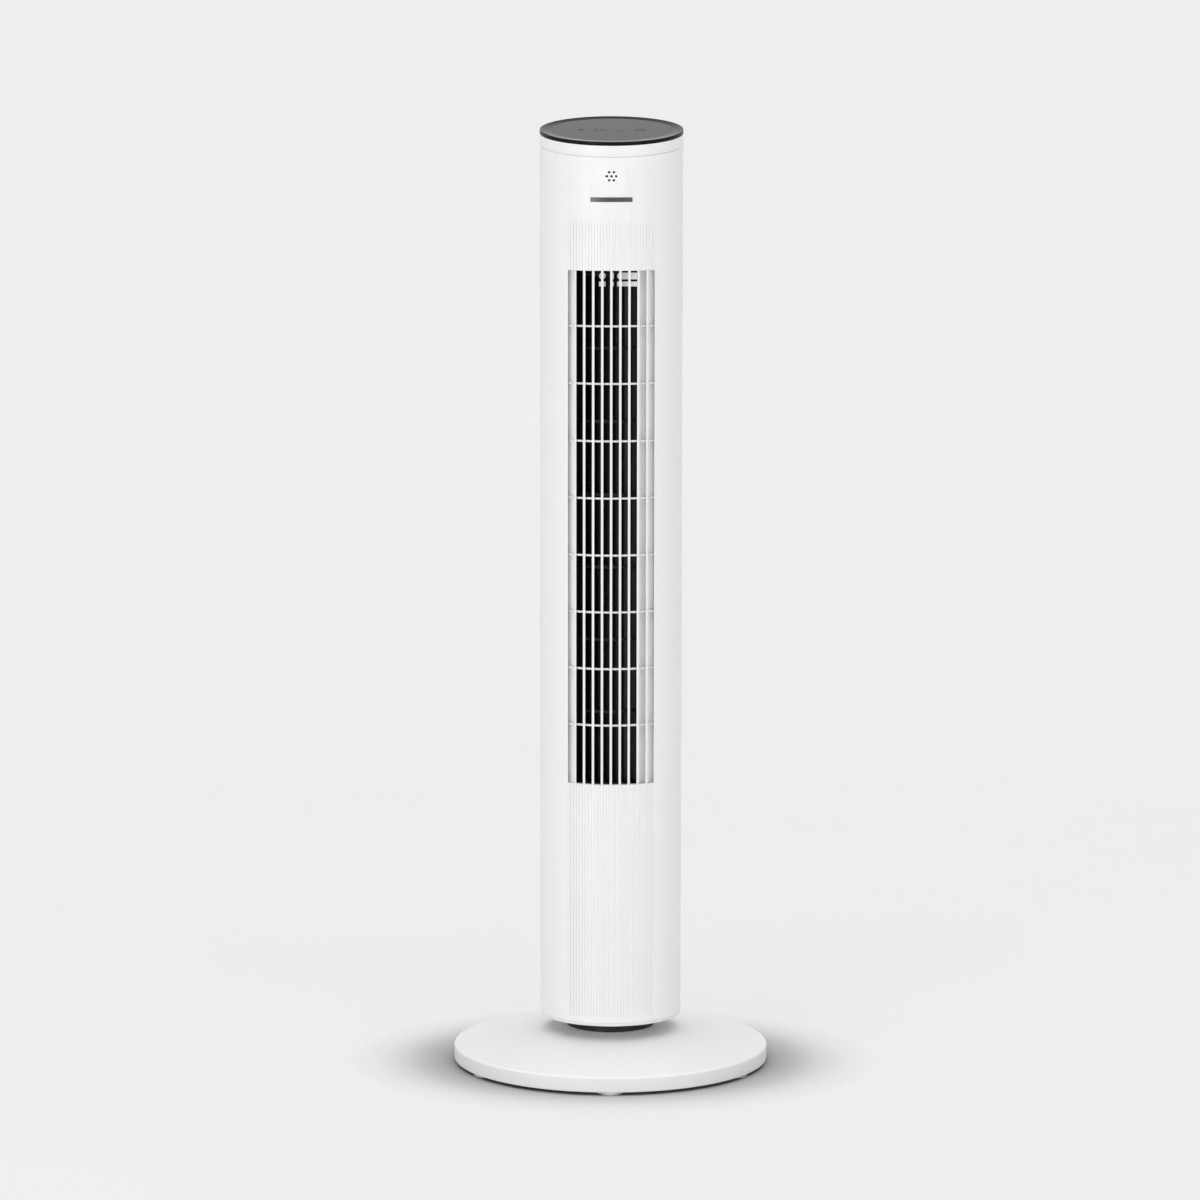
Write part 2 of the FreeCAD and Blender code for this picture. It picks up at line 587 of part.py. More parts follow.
# The pinion stands behind the fixed gear, so a gap of the gear and a tooth of the pinion face
# each other along Y.
fixed_teeth = int(size["fixed_teeth"])
pinion_teeth = int(size["pinion_teeth"])
node("fixed_gear", built("fixed_gear_solid", gear_shape(
    fixed_teeth, size["tube_r"], 90 + 180 / fixed_teeth, TOWER_AXIS)))
node("drive_pinion", built("drive_pinion_solid", gear_shape(
    pinion_teeth, size["pinion_shaft_r"], -90, (0.0, size["gear_centres"]))))
node("pinion_shaft", rod("pinion_shaft_rod", "pinion_shaft_r", "gear_low", "swing_motor_top - 4",
                         ("0", "gear_centres")))


# ==== tower's foot ====

floor_turned = turned("floor_turned", [
    ("tube_r + running_gap", "tower_low"), ("tower_r", "tower_low"), ("tower_r", "floor_top"),
    ("hub_r", "floor_top"), ("hub_r", "hub_top"), ("tube_r + running_gap", "hub_top")])
floor_turned = rounded("floor_round_edge", floor_turned, size["floor_round"],
                       circle_at(size["tower_r"], size["tower_low"]))
floor_rim = tube("floor_rim", "tower_r - wall - 3", "tower_r - wall - fit_gap", "floor_top",
                 "floor_top + 6")
post_places = [("-swing_post", "gear_centres"), ("swing_post", "gear_centres")]
posts = [rod(f"swing_post{i}", "post_r", "floor_top", "bracket_low", at) for i, at in enumerate(post_places)]
post_pilots = [rod(f"post_pilot{i}", "screw_r", "bracket_low - 9", "bracket_low", at)
               for i, at in enumerate(post_places)]
node("tower_floor", minus("tower_floor_cut", union("floor_whole", [floor_turned, floor_rim] + posts),
                          post_pilots))

bar = block("swing_bracket_bar", ("-swing_post - 5", "swing_post + 5"),
            ("gear_centres - 6", "gear_centres + 6"), ("bracket_low", "bracket_top"))
bar_holes = [rod(f"bracket_hole{i}", "screw_r", "bracket_low", "bracket_top", at)
             for i, at in enumerate(post_places)]
shaft_hole = rod("bracket_shaft_hole", "pinion_shaft_r + 1.5", "bracket_low", "bracket_top",
                 ("0", "gear_centres"))
node("swing_bracket", minus("swing_bracket_cut", bar, bar_holes + [shaft_hole]))

can = rod("swing_can", "swing_motor_r", "bracket_top", "swing_motor_top", ("0", "gear_centres"))
ears = block("swing_ears", ("-swing_post - 4.5", "swing_post + 4.5"),
             ("gear_centres - 5", "gear_centres + 5"), ("bracket_top", "bracket_top + 1.2"))
ear_holes = [rod(f"ear_hole{i}", "screw_r", "bracket_top", "bracket_top + 1.2", at)
             for i, at in enumerate(post_places)]
shaft_well = rod("swing_shaft_well", "pinion_shaft_r + running_gap", "bracket_top",
                 "swing_motor_top - 3.5", ("0", "gear_centres"))
node("swing_motor", minus("swing_motor_cut", union("swing_motor_whole", [can, ears]),
                          ear_holes + [shaft_well]))
node("swing_screws", group("swing_screw_set", [
    screw(f"swing_screw{i}", at, "bracket_top + 1.2", "bracket_low - 8", upward=False)
    for i, at in enumerate(post_places)]))


# ==== shells ====

SHELL_SCREW_HEIGHTS = ["110", "255", "812", "860"]


def shell_half(name, front):
    """One half of the tower's tube, cut off by the sloping top, with blocks for the shell screws."""
    skin = tube(name + "_tube", "tower_r - wall", "tower_r", "floor_top + 0.15", "shell_top + 20")
    side = ("-tower_r - 1", "seam_y") if front else ("seam_y", "tower_r + 1")
    half = block(name + "_half", ("-tower_r - 1", "tower_r + 1"), side, ("tower_low", "shell_top + 20"))
    above = sloping_slab(name + "_above", "shell_top - seam_gap / 2", "60")
    blocks = []
    depth = ("seam_y - block_deep", "seam_y") if front else ("seam_y", "seam_y + block_deep")
    for k, height in enumerate(SHELL_SCREW_HEIGHTS):
        for hand in ("left", "right"):
            across = ("block_in", "tower_r") if hand == "right" else ("-tower_r", "-block_in")
            blocks.append(block(f"{name}_block_{hand}{k}", across, depth,
                                (f"{height} - block_high / 2", f"{height} + block_high / 2")))
    core = rod(name + "_core", "tower_r - wall / 2", "tower_low", "shell_top")
    kept = shared(name + "_blocks", union(name + "_block_set", blocks), core)
    skin = shared(name + "_skin", skin, half)
    return minus(name + "_topped", union(name + "_with_blocks", [skin, kept]), [above])


shell_screw_places = [(sign + "shell_screw_x", height)
                      for height in SHELL_SCREW_HEIGHTS for sign in ("-", "")]


def bars_across(pitch, wide, each_side):
    """Left and right sides of evenly spaced bars either side of the middle."""
    for k in range(-each_side, each_side + 1):
        yield k * pitch - wide / 2, k * pitch + wide / 2


bar_step = size["bar_pitch"]
rib_step = bar_step / size["ribs_per_bar"]
front_side = (-size["tower_r"] - 1, 0.0)
rear_side = (0.0, size["tower_r"] + 1)
window_z = (size["window_low"], size["window_high"])


def rib_grooves():
    """The grooves that leave fine upright ribs above and below the outlet."""
    grooves = []
    count = int((size["window_half"] - rib_step / 2) / rib_step) + 1
    for side in (-1, 1):
        for k in range(count):
            middle = side * (k + 0.5) * rib_step
            across = (middle - size["rib_gap"] / 2, middle + size["rib_gap"] / 2)
            grooves.append(box_shape(across, front_side, (size["rib_low"], size["window_low"])))
            grooves.append(box_shape(across, front_side, (size["window_high"], size["rib_high"])))
    return curved(grooves, size["tower_r"] - size["rib_deep"], size["tower_r"] + 1,
                  size["rib_low"], size["rib_high"])


sounder_places = [("0", "sound_z")] + list(round_the_axis("sound_ring", 6, 0, ("0", "sound_z")))
sounder_holes = [rod(f"sounder_hole{i}", "sound_hole_r", "-tower_r - 1", "-tower_r + wall + 3", at, "Y")
                 for i, at in enumerate(sounder_places)]
board_post_places = [("-sound_post_x", "sound_z"), ("sound_post_x", "sound_z")]
board_posts = [rod(f"sounder_post{i}", "2", "-tower_r + wall / 2", "sound_board_y", at, "Y")
               for i, at in enumerate(board_post_places)]
window_cut = block("window_cut", ("-window_half", "window_half"), ("-tower_r - 1", "0"),
                   ("window_low", "window_high"))
badge_box = block("badge_box", ("-badge_long / 2", "badge_long / 2"), ("-tower_r - 1", "0"),
                  ("badge_z - badge_high / 2", "badge_z + badge_high / 2"))
badge_skin = tube("badge_skin", "tower_r - badge_deep", "tower_r + 1", "badge_z - badge_high",
                  "badge_z + badge_high")
front_pilots = [rod(f"front_pilot{i}", "screw_r", "seam_y - 10", "seam_y", at, "Y")
                for i, at in enumerate(shell_screw_places)]
front = union("front_posted", [shell_half("front", True)] + board_posts)
node("front_shell", minus("front_shell_cut", front, [
    window_cut, built("rib_grooves", rib_grooves()), shared("badge_recess", badge_box, badge_skin)]
    + sounder_holes + front_pilots))

badge_body = block("badge_body", ("-badge_long / 2 + 0.1", "badge_long / 2 - 0.1"), ("-tower_r - 1", "0"),
                   ("badge_z - badge_high / 2 + 0.1", "badge_z + badge_high / 2 - 0.1"))
badge_plate = tube("badge_plate", "tower_r - badge_deep", "tower_r + 0.1", "badge_z - badge_high",
                   "badge_z + badge_high")
node("front_badge", shared("front_badge_curved", badge_body, badge_plate))

inlet_cut = block("inlet_cut", ("-inlet_half", "inlet_half"), ("0", "tower_r + 1"),
                  ("inlet_low", "inlet_high"))
frame_places = [(x, z) for x in ("-frame_post_x", "frame_post_x") for z in ("board_low + 6", "board_top - 6")]
frame_posts = [rod(f"frame_post{i}", "frame_post_r", "board_y + board_thick + board_frame_thick",
                   "tower_r - wall - 4", at, "Y") for i, at in enumerate(frame_places)]
ledges = []
for name, low in (("floor", "duct_floor_low - ledge_thick"), ("roof", "duct_roof_top")):
    ledge = tube(f"{name}_ledge_ring", "ledge_in", "tower_r - wall / 2", low,
                 f"{low} + ledge_thick")
    behind = block(f"{name}_ledge_half", ("-tower_r", "tower_r"), ("seam_y", "tower_r"),
                   (low, f"{low} + ledge_thick"))
    ledges.append(shared(f"{name}_ledge", ledge, behind))
duct_screw_places = [("-duct_screw_x", "duct_screw_y"), ("duct_screw_x", "duct_screw_y")]
ledge_holes = [rod(f"ledge_hole{i}", "screw_r", "duct_floor_low - ledge_thick",
                    "duct_roof_top + ledge_thick", at)
               for i, at in enumerate(duct_screw_places)]
rear_wells = [rod(f"rear_well{i}", "well_r", "seam_y + 4", "tower_r", at, "Y")
              for i, at in enumerate(shell_screw_places)]
rear_holes = [rod(f"rear_hole{i}", "screw_r", "seam_y", "seam_y + 5", at, "Y")
              for i, at in enumerate(shell_screw_places)]
rear = union("rear_posted", [shell_half("rear", False)] + frame_posts + ledges)
node("rear_shell", minus("rear_shell_cut", rear, [inlet_cut] + ledge_holes + rear_wells + rear_holes))

node("shell_screws", group("shell_screw_set", [
    screw(f"shell_screw{i}", at, "seam_y + 4", "seam_y - 9", upward=False, along="Y")
    for i, at in enumerate(shell_screw_places)]))


# ==== grilles ====

def hidden_frame(half, low, high, side):
    """The strip behind the shell's edge that a grille hangs on."""
    lap = size["frame_lap"]
    outer = box_shape((-half - lap, half + lap), side, (low - lap, high + lap))
    inner = box_shape((-half, half), side, (low, high))
    return curved([outer.cut(inner)], size["frame_in_r"], size["frame_out_r"], low - lap, high + lap)


def front_grille_shape():
    low, high = window_z
    bar_sides = list(bars_across(bar_step, size["bar_wide"], int(size["bars_each_side"])))
    shown = [box_shape(x, front_side, (low + 0.1, high - 0.1)) for x in bar_sides]
    backs = [box_shape(x, front_side, (low - 3, high + 3)) for x in bar_sides]
    half = size["window_half"] + 2
    crosses = []
    for k in range(int(size["cross_bars"])):
        middle = size["cross_top"] - k * size["cross_pitch"]
        z = (middle - size["cross_high"] / 2, middle + size["cross_high"] / 2)
        crosses.append(box_shape((-half, half), front_side, z))
    front_part = curved(shown, size["bar_back_r"], size["tower_r"], low, high)
    back_part = curved(backs, size["bar_back_r"], size["frame_out_r"], low - 3, high + 3)
    cross_part = curved(crosses, size["frame_in_r"], size["cross_front_r"], low, high)
    frame = hidden_frame(size["window_half"], low, high, front_side)
    pieces = front_part.Solids + back_part.Solids + cross_part.Solids
    return frame.Solids[0].multiFuse(pieces).removeSplitter()


def rear_grille_shape():
    gap = size["seam_gap"]
    half = size["inlet_half"]
    low, high = size["inlet_low"], size["inlet_high"]
    panel = curved([box_shape((-half + gap, half - gap), rear_side, (low + gap, high - gap))],
                   size["frame_in_r"], size["tower_r"], low, high)
    frame = hidden_frame(half - 3, low + 3, high - 3, rear_side)
    frame = frame.common(box_shape((-half - 4, half + 4), rear_side, (low - 4, high + 4)))
    hollow = curved([box_shape((-half + 3, half - 3), rear_side, (low + 3, high - 3))],
                    size["frame_in_r"], size["frame_out_r"], low, high)
    rows = int(size["slot_rows"])
    row_step = (high - low - 8) / rows
    slots = []
    for row in range(rows):
        start = low + 4 + row * row_step + size["slot_web"] / 2
        z = (start, start + row_step - size["slot_web"])
        for x in bars_across(size["slot_pitch"], size["slot_wide"], int(size["slots_each_side"])):
            slots.append(box_shape(x, rear_side, z))
    whole = panel.Solids[0].multiFuse(frame.Solids)
    return whole.cut(hollow).cut(Part.makeCompound(slots))


node("front_grille", built("front_grille_solid", front_grille_shape()))
node("rear_grille", built("rear_grille_solid", rear_grille_shape()))


# ==== duct ====

fan_at = ("fan_x", "fan_y")
fan_centre = (size["fan_x"], size["fan_y"])

floor_disc = rod("duct_floor_disc", "duct_r", "duct_floor_low", "duct_floor_top")
floor_hole = rod("duct_floor_hole", "hub_rubber_r + 6", "duct_floor_low", "duct_floor_top", fan_at)
floor_pilots = [rod(f"duct_pilot{i}", "screw_r", "duct_floor_low", "duct_floor_top", at)
                for i, at in enumerate(duct_screw_places)]
node("duct_floor", minus("duct_floor_cut", floor_disc, [floor_hole] + floor_pilots))

# The roof carries the top bearing's housing and, behind the outlet's upper end, a comb whose necks
# hang behind the upright bars: two waisted teeth, a slim one between them, and two rows of plates.
roof = rod("duct_roof_disc", "duct_r", "duct_roof_low", "duct_roof_top")
housing = tube("bearing_housing", "housing_in", "housing_r", "bearing_low", "duct_roof_low", fan_at)
comb_depth = ("-comb_front", "-comb_back")
comb = [block(f"comb_neck{k}", (f"{k} * bar_pitch - comb_neck / 2", f"{k} * bar_pitch + comb_neck / 2"),
              comb_depth, ("comb_low", "duct_roof_low")) for k in range(-1, 3)]
for side, middle in (("left", "-bar_pitch"), ("right", "bar_pitch")):
    comb.append(rod(f"comb_lobe_{side}", "comb_lobe_r", *comb_depth, (middle, "comb_high"), "Y"))
    comb.append(block(f"comb_foot_{side}", (f"{middle} - comb_lobe_r", f"{middle} + comb_lobe_r"),
                      comb_depth, ("comb_low - comb_low_half", "comb_low + comb_low_half")))
for name, middle, half in (("high", "comb_high", "comb_lobe_r"), ("low", "comb_low", "comb_low_half")):
    z = (f"{middle} - {half}", f"{middle} + {half}")
    comb.append(block(f"comb_slim_{name}", ("-comb_neck / 2", "comb_slim_x"), comb_depth, z))
    comb.append(block(f"comb_plate_{name}", ("comb_plate_x", "3 * bar_pitch - bar_wide / 2 - loose_gap"),
                      comb_depth, z))
roof_pilots = [rod(f"roof_pilot{i}", "screw_r", "duct_roof_low", "duct_roof_top", at)
               for i, at in enumerate(duct_screw_places)]
bracket = union("top_bracket_whole", [roof, housing] + comb)
node("top_bracket", minus("top_bracket_cut", bracket, roof_pilots))

node("duct_screws", group("duct_screw_set", [
    screw(f"floor_screw{i}", at, "duct_floor_low - ledge_thick", "duct_floor_top - 0.5")
    for i, at in enumerate(duct_screw_places)] + [
    screw(f"roof_screw{i}", at, "duct_roof_top + ledge_thick", "duct_roof_low + 0.5", upward=False)
    for i, at in enumerate(duct_screw_places)]))


def wall_shape(runs):
    """A standing wall whose outline is made of runs: two points make a line, more make a curve."""
    low, high = size["duct_floor_top"], size["duct_roof_low"]

    def edge(points):
        if len(points) == 2:
            return Part.LineSegment(points[0], points[1]).toShape()
        curve = Part.BSplineCurve()
        curve.interpolate(points)
        return curve.toShape()

    wire = Part.Wire(Part.__sortEdges__([edge(points) for points in runs]))
    return Part.Face(wire).extrude(Vector(0, 0, high - low))


def scroll_points(first, last, start_r, end_r, steps=6):
    """Points of a spiral about the impeller's axis between two angles."""
    low = size["duct_floor_top"]
    for k in range(steps + 1):
        part = k / steps
        yield polar(start_r + (end_r - start_r) * part, first + (last - first) * part, fan_centre, low)


def joined(points):
    """The straight runs from each point to the next."""
    return [list(pair) for pair in zip(points, points[1:])]


def on_radius(x, radius):
    """The point at that x in front of the axis that lies on a radius about it."""
    return Vector(x, -math.sqrt(radius * radius - x * x), size["duct_floor_top"])


def outlet_flange(hand, corner_x):
    """A flange that faces the outlet on one side: its front's two ends, then its back's two."""
    radius, thick = size["mouth_r"], size["duct_wall"]
    mouth_x = size["mouth_x"]
    front = [on_radius(hand * corner_x, radius), on_radius(hand * mouth_x, radius)]
    back = [on_radius(hand * mouth_x * (radius - thick) / radius, radius - thick),
            on_radius(hand * (corner_x + thick), radius - thick)]
    return front + back


def scroll_wall_shape():
    """The long wall on the left: it winds round the back of the impeller, runs forward and ends in
    a flange that fills the outlet's left edge."""
    thick = size["duct_wall"]
    start, end = size["scroll_start"], size["scroll_end"]
    start_r, end_r = size["scroll_start_r"], size["scroll_end_r"]
    inside = list(scroll_points(start, end, start_r, end_r))
    outside = list(scroll_points(end - size["scroll_short"], start, end_r + thick, start_r + thick))
    corners = [inside[-1]] + outlet_flange(-1, size["flange_x"]) + [outside[0]]
    return wall_shape([inside] + joined(corners) + [outside, [outside[-1], inside[0]]])


def tongue_wall_shape():
    """The short wall on the right: it starts close to the impeller, runs forward to a sunk strip
    and steps out to a flange that fills the outlet's right edge."""
    thick = size["duct_wall"]
    radius = size["tongue_r"]
    start, end = size["tongue_start"], size["tongue_end"]
    strip_x, step_x = size["tongue_x"], size["tongue_step_x"]
    strip_r = size["mouth_r"] - size["strip_sunk"]
    inside = list(scroll_points(start, end, radius, radius))
    outside = list(scroll_points(end + size["tongue_short"], start, radius + thick, radius + thick))
    corners = [inside[-1], on_radius(strip_x, strip_r), on_radius(step_x, strip_r)]
    corners += outlet_flange(1, step_x)
    corners += [on_radius(strip_x + thick, strip_r - thick), outside[0]]
    return wall_shape([inside] + joined(corners) + [outside, [outside[-1], inside[0]]])


node("scroll_wall", built("scroll_wall_solid", scroll_wall_shape()))
node("tongue_wall", built("tongue_wall_solid", tongue_wall_shape()))


# ==== top bearing ====

node("bearing_bush", tube("top_bush", "shaft_r + running_gap", "top_bush_r", "top_bush_low",
                          "top_bush_top", fan_at))
node("bearing_rubber", tube("top_rubber", "top_bush_r", "housing_in", "top_bush_low", "top_bush_top",
                            fan_at))
node("top_pin", rod("top_pin_rod", "shaft_r", "pin_low", "pin_top", fan_at))


# ==== impeller ====

def impeller_shape():
    """A cross-flow wheel: bowed blades run through a stack of discs."""
    low, high = size["wheel_low"], size["wheel_top"]
    thick = size["disc_thick"]
    foot = polar(size["blade_in_r"], 0)
    tip = polar(size["blade_out_r"] - size["blade_thick"] / 2, size["blade_lean"])
    chord = tip - foot
    middle = (foot + tip) * 0.5 + Vector(chord.y, -chord.x, 0).normalize() * size["blade_bow"]
    camber = Part.Wire([Part.Arc(foot, middle, tip).toShape()])
    outline = camber.makeOffset2D(size["blade_thick"] / 2, 0, False, False)
    blade = Part.Face(outline).extrude(Vector(0, 0, high - low))
    count = int(size["blades"])
    pieces = []
    for k in range(count):
        turned_blade = blade.copy()
        turned_blade.rotate(Vector(), Vector(0, 0, 1), 360 * k / count)
        pieces.append(turned_blade)
    sections = int(size["sections"])
    step = (high - low - thick) / sections
    for k in range(1, sections):
        pieces.append(tube_shape(size["disc_in_r"], size["wheel_r"], k * step, k * step + thick))
    pieces.append(tube_shape(size["shaft_r"], size["wheel_r"], high - low - thick, high - low))
    pieces.append(tube_shape(size["shaft_r"], size["shaft_r"] + 5, high - low - thick - 8,
                             high - low - thick))
    bottom = tube_shape(size["hub_rubber_r"], size["wheel_r"], 0, thick)
    wheel = bottom.multiFuse(pieces)
    wheel.translate(Vector(fan_centre[0], fan_centre[1], low))
    return wheel


node("impeller_wheel", built("impeller_wheel_solid", impeller_shape()))

hub = turned("hub_turned", [
    ("shaft_r", "wheel_low - 7"), ("hub_rubber_r", "wheel_low - 7"), ("hub_rubber_r", "wheel_low - 2"),
    ("hub_rubber_r + 4", "wheel_low - 2"), ("hub_rubber_r + 4", "wheel_low"),
    ("hub_rubber_r", "wheel_low"), ("hub_rubber_r", "wheel_low + 8"), ("shaft_r", "wheel_low + 8")],
    fan_at)
hub_screw_at = ("fan_x", "wheel_low - 4.5")
hub_screw_hole = rod("hub_screw_hole", "screw_r", "fan_y - hub_rubber_r - 1", "fan_y - shaft_r",
                     hub_screw_at, "Y")
node("impeller_hub", minus("hub_cut", hub, [hub_screw_hole]))
node("hub_screw", rod("hub_grub_screw", "screw_r", "fan_y - hub_rubber_r + 1", "fan_y - shaft_r",
                      hub_screw_at, "Y"))
node("motor_shaft", rod("motor_shaft_rod", "shaft_r", "shaft_low", "shaft_top", fan_at))
node("motor_rotor", tube("rotor", "shaft_r", "rotor_r", "core_low", "core_top", fan_at))


# ==== fan motor ====

case_high = turned("case_high", [
    ("bush_r", "motor_top - 6"), ("motor_hub_r", "motor_top - 6"),
    ("motor_hub_r", "motor_top - motor_sheet"), ("motor_r - motor_sheet", "motor_top - motor_sheet"),
    ("motor_r - motor_sheet", "motor_middle"), ("motor_r", "motor_middle"), ("motor_r", "motor_top"),
    ("motor_hub_r", "motor_top"), ("motor_hub_r", "motor_top + motor_hub_high"),
    ("bush_r", "motor_top + motor_hub_high")], fan_at)
mount_places = list(round_the_axis("mount_ring", 3, 30, fan_at))
case_holes = [rod(f"case_hole{i}", "screw_r", "motor_top - 2", "motor_top", at)
              for i, at in enumerate(mount_places)]
node("motor_case_upper", minus("case_high_cut", case_high, case_holes))
node("motor_case_lower", turned("case_low", [
    ("bush_r", "motor_low - motor_hub_high"), ("motor_hub_r", "motor_low - motor_hub_high"),
    ("motor_hub_r", "motor_low"), ("motor_r", "motor_low"), ("motor_r", "motor_middle"),
    ("motor_r - motor_sheet", "motor_middle"), ("motor_r - motor_sheet", "motor_low + motor_sheet"),
    ("motor_hub_r", "motor_low + motor_sheet"), ("motor_hub_r", "motor_low + 6"),
    ("bush_r", "motor_low + 6")], fan_at))
node("motor_bushes", group("motor_bush_pair", [
    tube("bush_low", "shaft_r + running_gap", "bush_r", "motor_low - 5", "motor_low + 5", fan_at),
    tube("bush_high", "shaft_r + running_gap", "bush_r", "motor_top - 5", "motor_top + 5", fan_at)]))
node("stator_core", tube("core", "core_in", "motor_r - motor_sheet", "core_low", "core_top", fan_at))
node("stator_windings", group("windings", [
    tube("winding_low", "coil_in", "coil_out", "core_low - coil_high", "core_low", fan_at),
    tube("winding_high", "coil_in", "coil_out", "core_top", "core_top + coil_high", fan_at)]))

carrier = rod("carrier_disc", "carrier_r", "carrier_low", "carrier_top", fan_at)
carrier_posts = [rod(f"carrier_post{i}", "post_r", "carrier_top", "duct_floor_low", at)
                 for i, at in enumerate(round_the_axis("(carrier_r - 5)", 3, 90, fan_at))]
carrier_hole = rod("carrier_hole", "motor_hub_r + 3", "carrier_low", "carrier_top", fan_at)
carrier_holes = [rod(f"carrier_screw_hole{i}", "screw_r", "carrier_low", "carrier_top", at)
                 for i, at in enumerate(mount_places)]
node("motor_bracket", minus("carrier_cut", union("carrier_whole", [carrier] + carrier_posts),
                            [carrier_hole] + carrier_holes))
node("motor_mounts", group("motor_mount_set", [
    tube(f"motor_mount{i}", "screw_r", "mount_r", "motor_top", "carrier_low", at)
    for i, at in enumerate(mount_places)]))
node("motor_screws", group("motor_screw_set", [
    screw(f"motor_screw{i}", at, "carrier_top", "motor_top - 3", upward=False)
    for i, at in enumerate(mount_places)]))


# ==== control board ====

board_back = "board_y + board_thick"
node("board_frame", block("board_frame_plate", ("-board_half - 3", "board_half + 3"),
                          (board_back, f"{board_back} + board_frame_thick"),
                          ("board_low - 4", "board_top + 4")))
node("main_board", block("main_board_plate", ("-board_half", "board_half"), ("board_y", board_back),
                         ("board_low", "board_top")))
node("transformer", block("transformer_body", ("transformer_left", "transformer_right"),
                          ("board_y - transformer_deep", "board_y"),
                          ("board_low + 8", "board_low + 8 + transformer_high")))
node("capacitors", group("capacitor_set", [
    rod(f"capacitor{k}", "capacitor_r", "board_y - capacitor_long", "board_y",
        ("capacitor_x", f"board_low + 14 + {k} * capacitor_step"), "Y")
    for k in range(3)]))
node("terminal_block", block("terminal_body", ("-terminal_half", "terminal_half"),
                             ("board_y - terminal_size", "board_y"),
                             ("board_top - 6 - terminal_size", "board_top - 6")))


# ==== sounder ====

node("buzzer", rod("buzzer_can", "buzzer_r", "sound_board_y - buzzer_deep", "sound_board_y",
                   ("0", "sound_z"), "Y"))
node("buzzer_board", block("buzzer_board_plate", ("-sound_post_x - 3", "sound_post_x + 3"),
                           ("sound_board_y", "sound_board_y + board_thick"),
                           ("sound_z - 8", "sound_z + 8")))


# ==== sloping top ====

ring_wall = tube("ring_wall", "tower_r - wall", "tower_r", "shell_top - 30", "shell_top + 40")
ring_slab = sloping_slab("ring_slab", "shell_top + seam_gap / 2", "ring_high - seam_gap / 2")
spigot_wall = tube("spigot_wall", "tower_r - 2 * wall - fit_gap", "tower_r - wall - fit_gap",
                   "shell_top - 30", "shell_top + 40")
spigot_slab = sloping_slab("spigot_slab", "shell_top - 6", "8")
bridge_wall = tube("bridge_wall", "tower_r - wall - 1", "tower_r - wall / 2", "shell_top - 30",
                   "shell_top + 40")
bridge_slab = sloping_slab("bridge_slab", "shell_top + seam_gap / 2", "2 - seam_gap / 2")
node("top_collar", union("top_collar_whole", [
    shared("ring_sloped", ring_wall, ring_slab), shared("spigot_sloped", spigot_wall, spigot_slab),
    shared("bridge_sloped", bridge_wall, bridge_slab)]))

lens_disc = rod("lens_disc", "lens_r", "shell_top - 10", "shell_top + 40")
lens_slab = sloping_slab("lens_slab", "shell_top + ring_high", "lens_thick")
dish = doc.addObject("Part::Cone", "lens_dish")
dish.Placement = Placement(Vector(), Rotation(Vector(1, 0, 0), size["panel_tilt"]))
dish_low = "(lens_thick * cos(panel_tilt) - lens_dip)"
bind(dish, Radius1="lens_flat_r", Radius2="lens_r + (lens_r - lens_flat_r)", Height="2 * lens_dip",
     Placement__Base__y=f"-{dish_low} * sin(panel_tilt)",
     Placement__Base__z=f"shell_top + ring_high + {dish_low} * cos(panel_tilt)",
     Placement__Rotation__Angle="panel_tilt")
node("control_lens", minus("lens_cut", shared("lens_sloped", lens_disc, lens_slab), [dish]))

tray_disc = sloping_rod("tray_disc", "tray_r", "-tray_drop - tray_thick", "-tray_drop")
tray_posts = [sloping_rod(f"tray_post{i}", "tray_post_r", "-tray_drop", "-touch_drop", right, back)
              for i, (right, back) in enumerate(round_the_axis("tray_post_ring", 4, 45))]
node("panel_tray", union("tray_whole", [tray_disc] + tray_posts))
touch_top = "(board_thick - touch_drop)"
node("touch_board", sloping_rod("touch_board_disc", "touch_board_r", "-touch_drop", touch_top))
pad_places = [("-29", "-2"), ("-11", "-2"), ("-1", "-29"), ("9", "-2"), ("28", "-2")]
node("touch_pads", group("touch_pad_set", [
    sloping_rod(f"touch_pad{i}", "touch_pad_r", touch_top, "0", right, back)
    for i, (right, back) in enumerate(pad_places)]))
node("infrared_eye", sloping_rod("infrared_eye_dome", "eye_r", touch_top, "-fit_gap", "eye_x",
                                 "-eye_y"))


# ==== check and write ====

doc.recompute()
for obj in doc.Objects:
    if "Invalid" in obj.State or "Error" in obj.State:
        raise SystemExit(f"{obj.Name} didn't compute: {obj.State}")
os.makedirs("parts", exist_ok=True)
for obj in nodes:
    if obj.Shape.isNull() or not obj.Shape.isValid() or not obj.Shape.Solids:
        raise SystemExit(f"{obj.Label} has no sound shape")
    obj.Shape.exportStep(f"parts/{obj.Label}.step")
    print(obj.Label, len(obj.Shape.Solids), round(obj.Shape.Volume, 1))
print(len(nodes), "pieces")
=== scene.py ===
import json
import math

import bmesh
import bpy
from mathutils import Matrix, Vector


